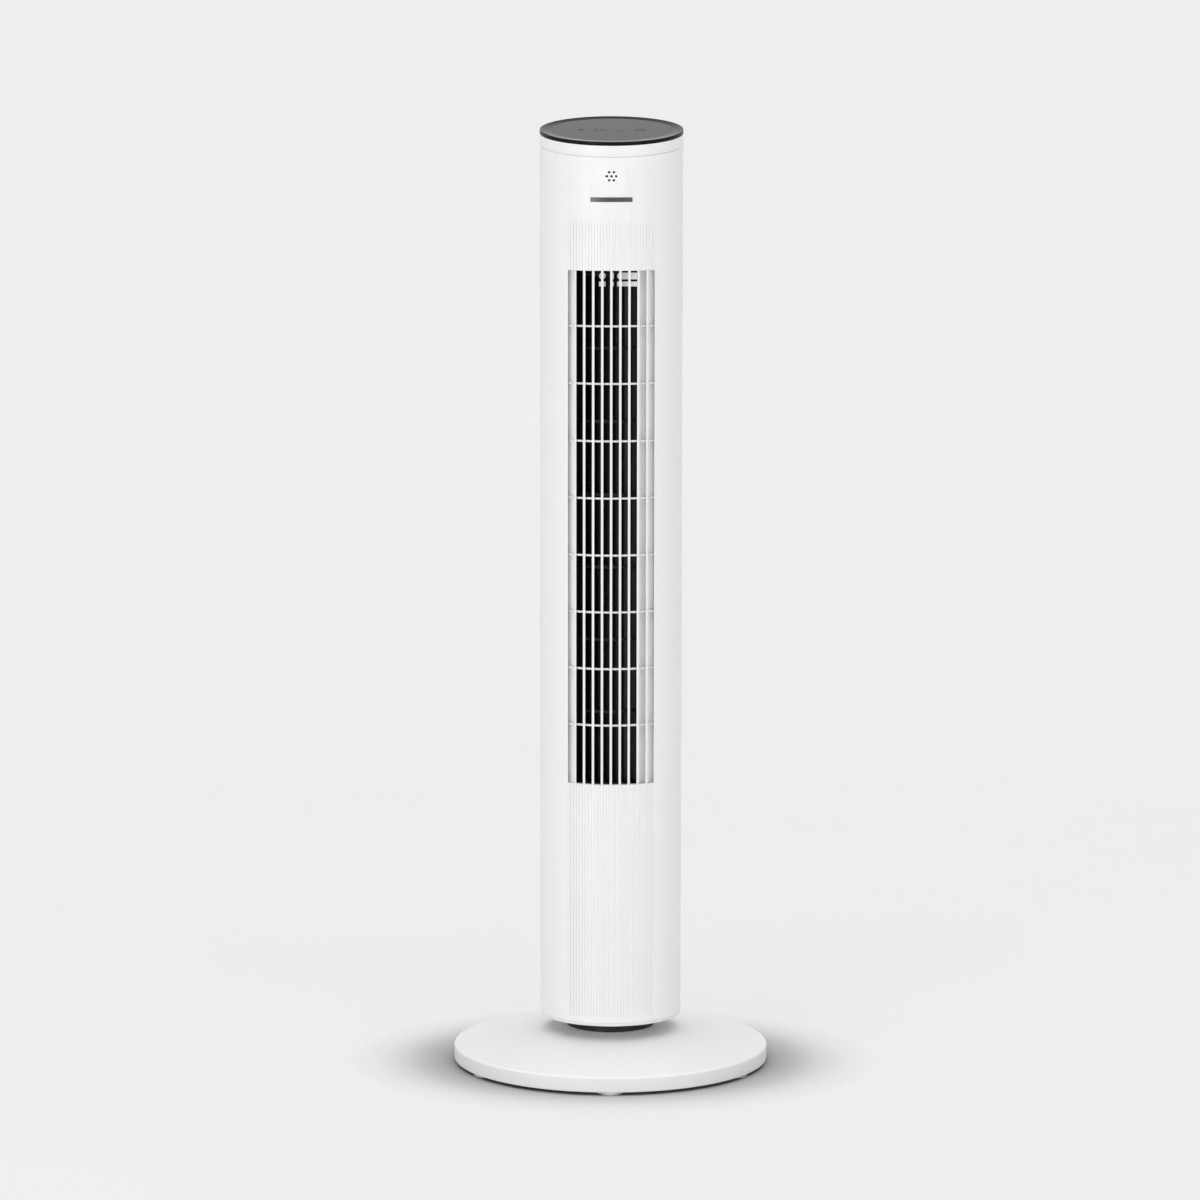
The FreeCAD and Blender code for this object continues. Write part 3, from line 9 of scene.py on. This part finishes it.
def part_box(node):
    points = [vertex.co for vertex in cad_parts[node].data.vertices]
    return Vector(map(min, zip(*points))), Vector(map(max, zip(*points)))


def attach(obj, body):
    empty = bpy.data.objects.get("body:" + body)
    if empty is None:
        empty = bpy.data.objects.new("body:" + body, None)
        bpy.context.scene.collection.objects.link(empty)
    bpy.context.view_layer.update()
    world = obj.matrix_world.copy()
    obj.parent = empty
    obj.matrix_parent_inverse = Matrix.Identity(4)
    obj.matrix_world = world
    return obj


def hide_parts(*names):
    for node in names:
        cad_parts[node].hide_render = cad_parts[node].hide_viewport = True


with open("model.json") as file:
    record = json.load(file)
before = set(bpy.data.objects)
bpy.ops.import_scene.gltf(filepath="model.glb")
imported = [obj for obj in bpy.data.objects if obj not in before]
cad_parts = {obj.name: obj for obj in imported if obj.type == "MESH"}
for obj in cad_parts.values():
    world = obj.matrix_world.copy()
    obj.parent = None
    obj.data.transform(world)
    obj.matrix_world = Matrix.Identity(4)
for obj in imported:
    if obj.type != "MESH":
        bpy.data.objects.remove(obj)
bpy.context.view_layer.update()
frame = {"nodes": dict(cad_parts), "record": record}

# A tower fan in a white studio. The CAD's nodes keep their meshes and get materials. The control
# lens is made again with its dished top, and the signs on it and the studio are added. Metres,
# with z up, the base's middle on the origin and the front of the fan towards -y.

MM = 0.001


# ---- places worked out from the frame ----

lens_low, lens_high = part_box("control_lens")
BASE_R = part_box("base_cover")[1].x
LENS_R = lens_high.x
HEIGHT = lens_high.z

# The lens lies on the body's top, which slopes down by this many degrees towards the front.
# LENS_UNDER is the height of the lens's underside at its middle.
LENS_TILT = 9.1
SLOPE = math.tan(math.radians(LENS_TILT))
LENS_THICK = lens_high.z - lens_low.z - 2 * LENS_R * SLOPE
LENS_UNDER = lens_low.z + LENS_R * SLOPE


# ---- sizes of the lens's top and of the signs on it ----

# The lens has a chamfered lower corner, a rounded rim and a dished border down to a sunk flat.
# The dish is a straight slope and a curve, in these shares of its depth.
LENS_CORNER = 0.3 * MM
LENS_RIM = 0.5 * MM
LENS_BORDER = 9.8 * MM
LENS_DIP = 0.8 * MM
DISH_STRAIGHT = 0.7
DISH_CURVED = 0.3
LENS_SIDES = 192
RIM_STEPS = 4
DISH_STEPS = 8

# Where each sign's middle is: over the touch pad that it belongs to.
SIGN_PLACES = {
    "power": (-11 * MM, -2 * MM),
    "speed": (-29 * MM, -2 * MM),
    "mode": (-1 * MM, -29 * MM),
    "swing": (9 * MM, -2 * MM),
    "timer": (28 * MM, -2 * MM),
}
SIGN_R = 4.8 * MM
SIGN_LINE = 0.85 * MM
SIGN_LIFT = 0.02 * MM


# ---- camera, room, lights and floor ----

# The camera's lens and sensor are in millimetres, and its angles in degrees.
CAMERA_PLACE = (0.0, -4.176, 0.9893)
CAMERA_LENS = 129.6
CAMERA_SENSOR = 36.0
CAMERA_DOWN = 7.27
CAMERA_YAW = 0.147
CAMERA_ROLL = 0.05

# How bright the room is, against the sine of the height above the horizon, and against how far
# to either side of the fan.
ROOM_LEVEL = 2.0
ROOM_BY_HEIGHT = [(0.0, 0.4275), (0.105, 0.4275), (0.342, 0.26), (0.45, 0.1), (0.643, 0.12),
                  (0.82, 1.0), (1.0, 1.0)]
ROOM_BY_SIDE = [(0.0, 1.0), (0.45, 1.0), (0.85, 0.67), (1.0, 0.59)]

# The soft boxes. Each turn is in degrees from the front, to the right.
LIGHT_DISTANCE = 4.8
LIGHT_HEIGHT = 0.36
LIGHT_TALL = 0.6
KEY = {"turn": -30.0, "width": 1.6, "watts": 48.0}
FILL = {"turn": 36.0, "width": 1.3, "watts": 23.0}

# The paper floor reaches this far to each side, to the front and to the back.
FLOOR_SIDE = 40.0
FLOOR_FRONT = 8.0
FLOOR_BACK = 14.0

# How bright the paper is: a soft painted shadow against the distance from the base's rim, narrower
# to the front and back, and slow changes with distance that make up for how the lights fall off.
PAINTED_SHADOW_REACH = 110 * MM
PAINTED_SHADOW_NARROW = 1.16
PAINTED_SHADOW = [(0.0, 0.4), (0.085, 0.44), (0.25, 0.57), (0.4, 0.71), (0.52, 0.815), (0.7, 0.92), (1.0, 1.0)]
FLOOR_REACH = 8.0
FLOOR = [(0.0, 0.817), (0.07, 0.795), (0.12, 0.795), (0.185, 0.797), (0.3, 0.805), (0.53, 0.813),
         (1.0, 0.822)]


# ---- camera ----

def make_camera():
    """The photograph was taken from 4.2 m with a long lens, a little above the top of the fan."""
    data = bpy.data.cameras.new("camera")
    data.lens = CAMERA_LENS
    data.sensor_width = CAMERA_SENSOR
    camera = bpy.data.objects.new("camera", data)
    bpy.context.scene.collection.objects.link(camera)
    pitch = Matrix.Rotation(math.radians(90 - CAMERA_DOWN), 4, "X")
    yaw = Matrix.Rotation(math.radians(CAMERA_YAW), 4, "Z")
    roll = Matrix.Rotation(math.radians(CAMERA_ROLL), 4, "Z")
    camera.matrix_world = Matrix.Translation(CAMERA_PLACE) @ yaw @ pitch @ roll
    bpy.context.scene.camera = camera


# ---- node trees ----

# The Mix node has sockets for every kind of value. These are the factor and the colours.
MIX_FACTOR = 0
MIX_FIRST = 6
MIX_SECOND = 7
MIX_RESULT = 2


class Graph:
    """A node tree being put together, with short helpers."""

    def __init__(self, tree):
        self.tree = tree

    def add(self, kind, **settings):
        new = self.tree.nodes.new("ShaderNode" + kind)
        for key, value in settings.items():
            setattr(new, key, value)
        return new

    def link(self, source, target):
        self.tree.links.new(source, target)

    def ramp(self, factor, stops):
        """Maps a factor onto grey or colour stops, each (position, value or colour)."""
        ramp = self.add("ValToRGB")
        points = ramp.color_ramp.elements
        middle = 0.5
        while len(points) < len(stops):
            points.new(middle)
        for point, (position, value) in zip(points, stops):
            point.position = position
            colour = value if isinstance(value, tuple) else (value, value, value)
            point.color = (*colour, 1.0)
        self.link(factor, ramp.inputs["Fac"])
        return ramp.outputs["Color"]

    def mix(self, factor, first, second, blend="MIX"):
        mix = self.add("Mix", data_type="RGBA", blend_type=blend)
        for place, value in ((MIX_FACTOR, factor), (MIX_FIRST, first), (MIX_SECOND, second)):
            socket = mix.inputs[place]
            if isinstance(value, bpy.types.NodeSocket):
                self.link(value, socket)
            elif isinstance(value, tuple):
                socket.default_value = (*value, 1.0)
            else:
                socket.default_value = value
        return mix.outputs[MIX_RESULT]


class Shader(Graph):
    """A material being put together: a principled shader and the object's coordinates."""

    def __init__(self, name):
        self.material = bpy.data.materials.new(name)
        self.material.use_nodes = True
        super().__init__(self.material.node_tree)
        self.bsdf = self.tree.nodes["Principled BSDF"]
        self.place = self.add("TexCoord").outputs["Object"]

    def stretched(self, x, y, z):
        """The coordinates scaled by axis, so that a pattern is drawn out where a factor is small."""
        mapping = self.add("Mapping")
        mapping.inputs["Scale"].default_value = (x, y, z)
        self.link(self.place, mapping.inputs["Vector"])
        return mapping.outputs["Vector"]

    def noise(self, scale, detail=2.0, vector=None):
        noise = self.add("TexNoise")
        noise.inputs["Scale"].default_value = scale
        noise.inputs["Detail"].default_value = detail
        self.link(vector or self.place, noise.inputs["Vector"])
        return noise.outputs["Fac"]

    def bump(self, height, distance, strength=1.0, under=None):
        bump = self.add("Bump")
        bump.inputs["Distance"].default_value = distance
        bump.inputs["Strength"].default_value = strength
        self.link(height, bump.inputs["Height"])
        if under is not None:
            self.link(under, bump.inputs["Normal"])
        return bump.outputs["Normal"]

    def edges(self, start, stop):
        """Near 1 along outside edges, 0 elsewhere."""
        geometry = self.add("NewGeometry")
        return self.ramp(geometry.outputs["Pointiness"], [(start, 0.0), (stop, 1.0)])

    def upward(self):
        """How far the surface faces up: 1 on a flat top and 0 on an upright side."""
        facing = self.add("SeparateXYZ")
        self.link(self.add("NewGeometry").outputs["Normal"], facing.inputs[0])
        return facing.outputs["Z"]

    def soft_corners(self, radius):
        """Normals that round off every corner a little."""
        bevel = self.add("Bevel", samples=4)
        bevel.inputs["Radius"].default_value = radius
        return bevel.outputs["Normal"]

    def finish(self, colour, roughness, normal=None, **sockets):
        for socket, value in (("Base Color", colour), ("Roughness", roughness), ("Normal", normal)):
            if value is not None:
                self.link(value, self.bsdf.inputs[socket])
        for socket, value in sockets.items():
            self.bsdf.inputs[socket].default_value = value
        return self.material


# ---- materials ----

def shaded(colour, factor, lift=0.0):
    """The colour made darker or lighter, and no lighter than white."""
    return tuple(min(1.0, c * factor + lift) for c in colour)


def moulded(name, colour, rough, grain=1400.0, depth=0.012 * MM, wear=1.04, ior=1.46):
    """Moulded plastic: a fine spark-eroded grain, faint flow marks and polish that varies a little."""
    s = Shader(name)
    cloud = s.noise(scale=9.0, detail=3.0)
    flow = s.noise(scale=30.0, vector=s.stretched(1.0, 1.0, 0.12))
    base = s.ramp(cloud, [(0.3, shaded(colour, 0.975)), (0.7, colour)])
    base = s.mix(s.ramp(flow, [(0.4, 0.0), (0.75, 0.35)]), base, shaded(colour, 0.985))
    base = s.mix(s.edges(start=0.52, stop=0.6), base, shaded(colour, wear, lift=0.004))
    polish = s.ramp(s.noise(scale=55.0, detail=4.0), [(0.3, rough - 0.04), (0.7, rough + 0.05)])
    normal = s.bump(s.noise(scale=grain), distance=depth, under=s.soft_corners(radius=0.25 * MM))
    normal = s.bump(s.noise(scale=14.0, detail=1.0), distance=0.05 * MM, strength=0.35, under=normal)
    return s.finish(base, polish, normal, IOR=ior)


def glossy_lens(name, colour):
    """The black control lens: gloss on top, a painted highlight in lighter grey along its rim and satin
    round its edge, with haze and fine wipe marks."""
    satin = (0.3, 0.3, 0.3)
    # The lighter grey below is a painted highlight for the band along the lens's rim.
    painted_highlight_grey = (0.16, 0.16, 0.16)
    s = Shader(name)
    haze = s.noise(scale=26.0, detail=5.0)
    wipe = s.noise(scale=420.0, vector=s.stretched(1.0, 0.08, 1.0))
    upward = s.upward()
    edge = s.ramp(upward, [(0.3, 1.0), (0.8, 0.0)])
    rim_highlight_mask = s.ramp(upward, [(0.35, 0.0), (0.6, 1.0), (0.88, 1.0), (0.95, 0.0)])
    base = s.ramp(haze, [(0.3, colour), (0.75, shaded(colour, 1.6))])
    # Painted highlight: the rim band takes the lighter grey.
    base = s.mix(rim_highlight_mask, base, painted_highlight_grey)
    polish = s.ramp(s.mix(0.35, haze, wipe), [(0.3, 0.05), (0.8, 0.12)])
    polish = s.mix(edge, polish, satin)
    s.link(s.ramp(upward, [(0.3, 0.12), (0.6, 0.5)]), s.bsdf.inputs["Specular IOR Level"])
    normal = s.bump(s.noise(scale=6.0, detail=1.0), distance=0.02 * MM, strength=0.3)
    return s.finish(base, polish, normal, IOR=1.38)


def rubber(name, colour):
    """Soft rubber: matt, with a fine bloom and grain."""
    s = Shader(name)
    base = s.ramp(s.noise(scale=70.0, detail=5.0), [(0.3, colour), (0.8, shaded(colour, 1.4))])
    polish = s.ramp(s.noise(scale=160.0), [(0.3, 0.72), (0.7, 0.88)])
    normal = s.bump(s.noise(scale=1800.0, detail=3.0), distance=0.03 * MM)
    return s.finish(base, polish, normal, IOR=1.5)


# How steel's pattern is scaled by axis, so that its lines run in one direction.
LINES_UPRIGHT = (1.0, 1.0, 0.04)
LINES_FRONT_TO_BACK = (1.0, 0.05, 1.0)
LINES_SIDE_TO_SIDE = (0.05, 1.0, 1.0)


def steel(name, colour, rough, along=LINES_UPRIGHT):
    """Drawn or turned steel, with fine lines along one direction and worn edges."""
    s = Shader(name)
    lines = s.noise(scale=2600.0, detail=3.0, vector=s.stretched(*along))
    stain = s.noise(scale=40.0, detail=4.0)
    base = s.ramp(stain, [(0.3, shaded(colour, 0.82)), (0.75, colour)])
    base = s.mix(s.edges(start=0.52, stop=0.62), base, shaded(colour, 1.12))
    polish = s.ramp(lines, [(0.3, rough - 0.08), (0.7, rough + 0.1)])
    return s.finish(base, polish, s.bump(lines, distance=0.01 * MM), Metallic=1.0)


def painted_steel(name, colour):
    """Black-painted steel with orange-peel, and bare metal showing along its edges."""
    bare = (0.35, 0.34, 0.33)
    s = Shader(name)
    chips = s.mix(0.5, s.edges(start=0.54, stop=0.66), s.noise(scale=300.0, detail=4.0))
    base = s.mix(s.ramp(chips, [(0.55, 0.0), (0.8, 1.0)]), colour, bare)
    polish = s.ramp(s.noise(scale=90.0, detail=3.0), [(0.3, 0.38), (0.7, 0.55)])
    peel = s.bump(s.noise(scale=520.0, detail=1.0), distance=0.03 * MM)
    return s.finish(base, polish, peel, Metallic=0.15)


def windings(name, colour):
    """Enamelled copper wire laid round and round."""
    s = Shader(name)
    wave = s.add("TexWave", wave_type="RINGS", rings_direction="Z")
    wave.inputs["Scale"].default_value = 260.0
    wave.inputs["Distortion"].default_value = 1.2
    wave.inputs["Detail"].default_value = 2.0
    s.link(s.place, wave.inputs["Vector"])
    strands = wave.outputs["Fac"]
    base = s.ramp(strands, [(0.1, shaded(colour, 0.35)), (0.6, colour)])
    polish = s.ramp(strands, [(0.0, 0.5), (1.0, 0.24)])
    return s.finish(base, polish, s.bump(strands, distance=0.2 * MM), Metallic=0.85)


def laminations(name, colour):
    """A stack of thin steel sheets seen on edge."""
    s = Shader(name)
    wave = s.add("TexWave", wave_type="BANDS", bands_direction="Z")
    wave.inputs["Scale"].default_value = 620.0
    wave.inputs["Distortion"].default_value = 0.4
    s.link(s.place, wave.inputs["Vector"])
    sheets = wave.outputs["Fac"]
    base = s.ramp(sheets, [(0.0, shaded(colour, 0.3)), (0.5, colour)])
    polish = s.ramp(s.noise(scale=120.0), [(0.3, 0.42), (0.7, 0.62)])
    return s.finish(base, polish, s.bump(sheets, distance=0.08 * MM), Metallic=0.8)


def circuit_board(name, colour):
    """Solder mask in two close greens, with tracks as darker, slightly raised lines."""
    s = Shader(name)
    tracks = s.add("TexBrick")
    tracks.inputs["Scale"].default_value = 170.0
    tracks.inputs["Mortar Size"].default_value = 0.03
    for socket, factor in (("Color1", 1.0), ("Color2", 1.25), ("Mortar", 0.55)):
        tracks.inputs[socket].default_value = (*shaded(colour, factor), 1.0)
    s.link(s.place, tracks.inputs["Vector"])
    polish = s.ramp(s.noise(scale=200.0), [(0.3, 0.3), (0.7, 0.42)])
    normal = s.bump(tracks.outputs["Fac"], distance=0.03 * MM)
    return s.finish(tracks.outputs["Color"], polish, normal, IOR=1.5)


def foam(name, colour):
    """Open-cell foam: small dark pores."""
    s = Shader(name)
    pores = s.add("TexVoronoi")
    pores.inputs["Scale"].default_value = 1500.0
    s.link(s.place, pores.inputs["Vector"])
    cells = pores.outputs["Distance"]
    base = s.ramp(cells, [(0.0, shaded(colour, 0.4)), (0.6, colour)])
    polish = s.ramp(cells, [(0.0, 0.95), (1.0, 0.8)])
    return s.finish(base, polish, s.bump(cells, distance=0.2 * MM), IOR=1.4)


# Each material slot of the record: what makes it, its colour and its settings.
MATERIALS = {
    "white_housing": (moulded, (0.83, 0.83, 0.825), {"rough": 0.42}),
    "white_grille": (moulded, (0.80, 0.80, 0.795), {"rough": 0.4}),
    # white_inner is a lighter white than the housing's: painted light that brightens the shaded duct
    # walls and comb seen behind the bars.
    "white_inner": (moulded, (0.9, 0.9, 0.895), {"rough": 0.55, "grain": 900.0, "depth": 0.03 * MM}),
    "black_housing": (moulded, (0.006, 0.006, 0.0065), {"rough": 0.42, "wear": 1.6, "ior": 1.32}),
    "black_lens": (glossy_lens, (0.006, 0.006, 0.007), {}),
    "black_impeller": (moulded, (0.006, 0.006, 0.006), {"rough": 0.5, "grain": 900.0, "wear": 1.5}),
    "grey_badge": (moulded, (0.06, 0.06, 0.062), {"rough": 0.34}),
    "black_rubber": (rubber, (0.012, 0.012, 0.012), {}),
    "pale_rubber": (rubber, (0.66, 0.66, 0.655), {}),
    "foam_grey": (foam, (0.12, 0.12, 0.12), {}),
    "weight_steel": (painted_steel, (0.02, 0.02, 0.022), {}),
    "bright_steel": (steel, (0.62, 0.62, 0.63), {"rough": 0.28}),
    "zinc_screws": (steel, (0.66, 0.65, 0.62), {"rough": 0.34, "along": LINES_FRONT_TO_BACK}),
    "motor_can": (steel, (0.5, 0.51, 0.51), {"rough": 0.38, "along": LINES_SIDE_TO_SIDE}),
    "rotor_metal": (steel, (0.55, 0.55, 0.56), {"rough": 0.42}),
    "bronze_bush": (steel, (0.5, 0.34, 0.18), {"rough": 0.45}),
    "lamination_steel": (laminations, (0.32, 0.32, 0.33), {}),
    "copper_wire": (windings, (0.72, 0.3, 0.14), {}),
    "acetal": (moulded, (0.72, 0.72, 0.68), {"rough": 0.42}),
    "board_green": (circuit_board, (0.012, 0.11, 0.045), {}),
    "component_black": (moulded, (0.02, 0.02, 0.022), {"rough": 0.45}),
    "component_blue": (moulded, (0.02, 0.08, 0.24), {"rough": 0.25}),
    "component_tan": (moulded, (0.42, 0.32, 0.17), {"rough": 0.6}),
}


def dress_nodes():
    """Give every node of the frame the material of its slot."""
    made = {slot: make(slot, colour, **settings) for slot, (make, colour, settings) in MATERIALS.items()}
    for part in frame["record"]["subparts"]:
        mesh = frame["nodes"][part["node"]].data
        mesh.materials.clear()
        mesh.materials.append(made[part["material_slot"]])
    return made


# ---- pieces ----

def on_lens(x, y, height):
    """A point at that height over the lens's underside, which slopes down towards the front."""
    return Vector((x, y, LENS_UNDER + y * SLOPE + height))


def finished_piece(name, build, material, slot, body, *replaced):
    """Turns a bmesh into a piece that rides on a body and stands for the replaced nodes."""
    mesh = bpy.data.meshes.new(name)
    bmesh.ops.recalc_face_normals(build, faces=build.faces)
    build.to_mesh(mesh)
    build.free()
    mesh.materials.append(material)
    piece = bpy.data.objects.new(name, mesh)
    bpy.context.scene.collection.objects.link(piece)
    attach(piece, body)
    if replaced:
        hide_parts(*replaced)


def lens_profile():
    """(radius, height) from the underside, up the edge, over the rim and down to the sunk flat."""
    profile = [(LENS_R - LENS_CORNER, 0.0), (LENS_R, LENS_CORNER), (LENS_R, LENS_THICK - LENS_RIM)]
    for step in range(1, RIM_STEPS + 1):
        turn = math.radians(90 * step / RIM_STEPS)
        profile.append((LENS_R - LENS_RIM * (1 - math.cos(turn)),
                        LENS_THICK - LENS_RIM * (1 - math.sin(turn))))
    dish_r = LENS_R - LENS_RIM
    flat_r = LENS_R - LENS_BORDER
    for step in range(1, DISH_STEPS + 1):
        inward = step / DISH_STEPS
        sunk = LENS_DIP * (DISH_STRAIGHT * inward + DISH_CURVED * (1 - (1 - inward) ** 2))
        profile.append((dish_r + (flat_r - dish_r) * inward, LENS_THICK - sunk))
    return profile


def make_lens(material):
    """The control lens, with a rounded rim, a dished border and a sunk flat middle."""
    build = bmesh.new()
    turns = [2 * math.pi * k / LENS_SIDES for k in range(LENS_SIDES)]
    rings = []
    for radius, height in lens_profile():
        rings.append([build.verts.new(on_lens(radius * math.cos(turn), radius * math.sin(turn), height))
                      for turn in turns])
    for lower, upper in zip(rings, rings[1:]):
        for k in range(LENS_SIDES):
            after = (k + 1) % LENS_SIDES
            build.faces.new((lower[k], lower[after], upper[after], upper[k])).smooth = True
    build.faces.new(reversed(rings[0]))
    build.faces.new(rings[-1])
    creased = set(rings[0]) | set(rings[-1])
    for edge in build.edges:
        if edge.verts[0] in creased and edge.verts[1] in creased:
            edge.smooth = False
    finished_piece("control_lens_dished", build, material, "black_lens", "tower", "control_lens")


def arc(centre, radius, first, last, steps=24):
    """Points along an arc, from the first turn to the last in degrees."""
    turns = [math.radians(first + (last - first) * k / steps) for k in range(steps + 1)]
    return [(centre[0] + radius * math.cos(turn), centre[1] + radius * math.sin(turn)) for turn in turns]


def blade(lean):
    """One blade of the fan sign: most of a circle through the sign's middle, on the lean's side."""
    turn = math.radians(lean)
    radius = 0.45 * SIGN_R
    centre = (radius * math.cos(turn), radius * math.sin(turn))
    return arc(centre, radius, lean, lean + 300, steps=16)


def sign_strokes():
    """The strokes of each sign, round the sign's own middle."""
    r = SIGN_R
    middle = (0.0, 0.0)
    dash_start = 1.5 * MM
    dash_stop = 5 * MM
    return {
        "power": [arc(middle, r, 125, 415), [middle, (0.0, 1.1 * r)]],
        "speed": [blade(lean) for lean in (90, 210, 330)],
        "mode": [[(-dash_stop, 0.0), (-dash_start, 0.0)], [(dash_start, 0.0), (dash_stop, 0.0)]],
        "swing": [arc(middle, r, 200, 340),
                  [(-r, 0.2 * r), (-0.95 * r, -0.4 * r)],
                  [(r, 0.2 * r), (0.95 * r, -0.4 * r)]],
        "timer": [arc(middle, r, 0, 350),
                  [middle, (0.0, 0.7 * r)],
                  [(0.3 * SIGN_LINE, 0.0), (0.6 * r, 0.0)]],
    }


def print_stroke(build, points):
    """A printed line through points on the lens's flat: a low ridge."""
    flat = LENS_THICK - LENS_DIP
    rows = []
    for k, point in enumerate(points):
        before, after = points[max(k - 1, 0)], points[min(k + 1, len(points) - 1)]
        along = (after - before).normalized()
        side = Vector((-along.y, along.x)) * SIGN_LINE / 2
        rows.append([build.verts.new(on_lens(edge.x, edge.y, flat + lift))
                     for lift in (0.0, SIGN_LIFT) for edge in (point - side, point + side)])
    for near, far in zip(rows, rows[1:]):
        for a, b in ((0, 1), (1, 3), (3, 2), (2, 0)):
            build.faces.new((near[a], near[b], far[b], far[a]))
    for end in (rows[0], rows[-1]):
        build.faces.new((end[0], end[1], end[3], end[2]))


def make_touch_icons(material):
    """Plain signs printed over the touch pads: on and off, fan speed, mode, swing and timer."""
    build = bmesh.new()
    for sign, strokes in sign_strokes().items():
        x, y = SIGN_PLACES[sign]
        for points in strokes:
            print_stroke(build, [Vector((x + across, y + back)) for across, back in points])
    finished_piece("touch_icons", build, material, "grey_badge", "tower")


# ---- stage ----

def studio_floor():
    """A pale paper floor that runs back to where the room takes over. The soft shadow round the
    base is painted shade in the paper."""
    mesh = bpy.data.meshes.new("studio_floor")
    corners = [(-FLOOR_SIDE, -FLOOR_FRONT, 0.0), (FLOOR_SIDE, -FLOOR_FRONT, 0.0),
               (FLOOR_SIDE, FLOOR_BACK, 0.0), (-FLOOR_SIDE, FLOOR_BACK, 0.0)]
    mesh.from_pydata(corners, [], [(0, 1, 2, 3)])
    floor = bpy.data.objects.new("studio_floor", mesh)
    bpy.context.scene.collection.objects.link(floor)
    s = Shader("studio_paper_with_painted_shadow")
    colour = s.ramp(s.noise(scale=3.0), [(0.3, 0.994), (0.7, 1.0)])
    # The first pass paints a soft shadow round the base into the paper; the second evens out the lights'
    # fall-off.
    for narrow, first, last, levels in ((PAINTED_SHADOW_NARROW, BASE_R, BASE_R + PAINTED_SHADOW_REACH, PAINTED_SHADOW),
                                        (1.0, 0.0, FLOOR_REACH, FLOOR)):
        away = s.add("VectorMath", operation="LENGTH")
        s.link(s.stretched(1.0, narrow, 1.0), away.inputs[0])
        reach = s.add("MapRange")
        reach.inputs["From Min"].default_value = first
        reach.inputs["From Max"].default_value = last
        s.link(away.outputs["Value"], reach.inputs["Value"])
        colour = s.mix(1.0, colour, s.ramp(reach.outputs["Result"], levels), blend="MULTIPLY")
    mesh.materials.append(s.finish(colour, s.ramp(s.noise(scale=4.0), [(0.3, 0.9), (0.7, 0.95)])))


def soft_box(name, turn, width, watts):
    """A rectangular light aimed at the middle of the fan."""
    data = bpy.data.lights.new(name, "AREA")
    data.shape = "RECTANGLE"
    data.size = width
    data.size_y = LIGHT_TALL
    data.energy = watts
    light = bpy.data.objects.new(name, data)
    bpy.context.scene.collection.objects.link(light)
    angle = math.radians(turn)
    light.location = (LIGHT_DISTANCE * math.sin(angle), -LIGHT_DISTANCE * math.cos(angle), LIGHT_HEIGHT)
    aim = Vector((0.0, 0.0, HEIGHT / 2)) - light.location
    light.rotation_euler = aim.to_track_quat("-Z", "Y").to_euler()


def studio_room():
    """A room that is bright along the horizon and overhead and darker between."""
    world = bpy.data.worlds.new("studio")
    world.use_nodes = True
    room = Graph(world.node_tree)
    direction = room.add("SeparateXYZ")
    room.link(room.add("TexCoord").outputs["Generated"], direction.inputs[0])
    aside = room.add("Math", operation="ABSOLUTE")
    room.link(direction.outputs["X"], aside.inputs[0])
    by_height = room.ramp(direction.outputs["Z"], ROOM_BY_HEIGHT)
    by_side = room.ramp(aside.outputs[0], ROOM_BY_SIDE)
    background = room.tree.nodes["Background"]
    room.link(room.mix(1.0, by_height, by_side, blend="MULTIPLY"), background.inputs["Color"])
    background.inputs["Strength"].default_value = ROOM_LEVEL
    bpy.context.scene.world = world
    bpy.context.scene.view_settings.view_transform = "Standard"


make_camera()
made = dress_nodes()
make_lens(made["black_lens"])
make_touch_icons(moulded("printed_grey", (0.035, 0.035, 0.036), rough=0.7, ior=1.25))
studio_floor()
studio_room()
soft_box("key", **KEY)
soft_box("fill", **FILL)
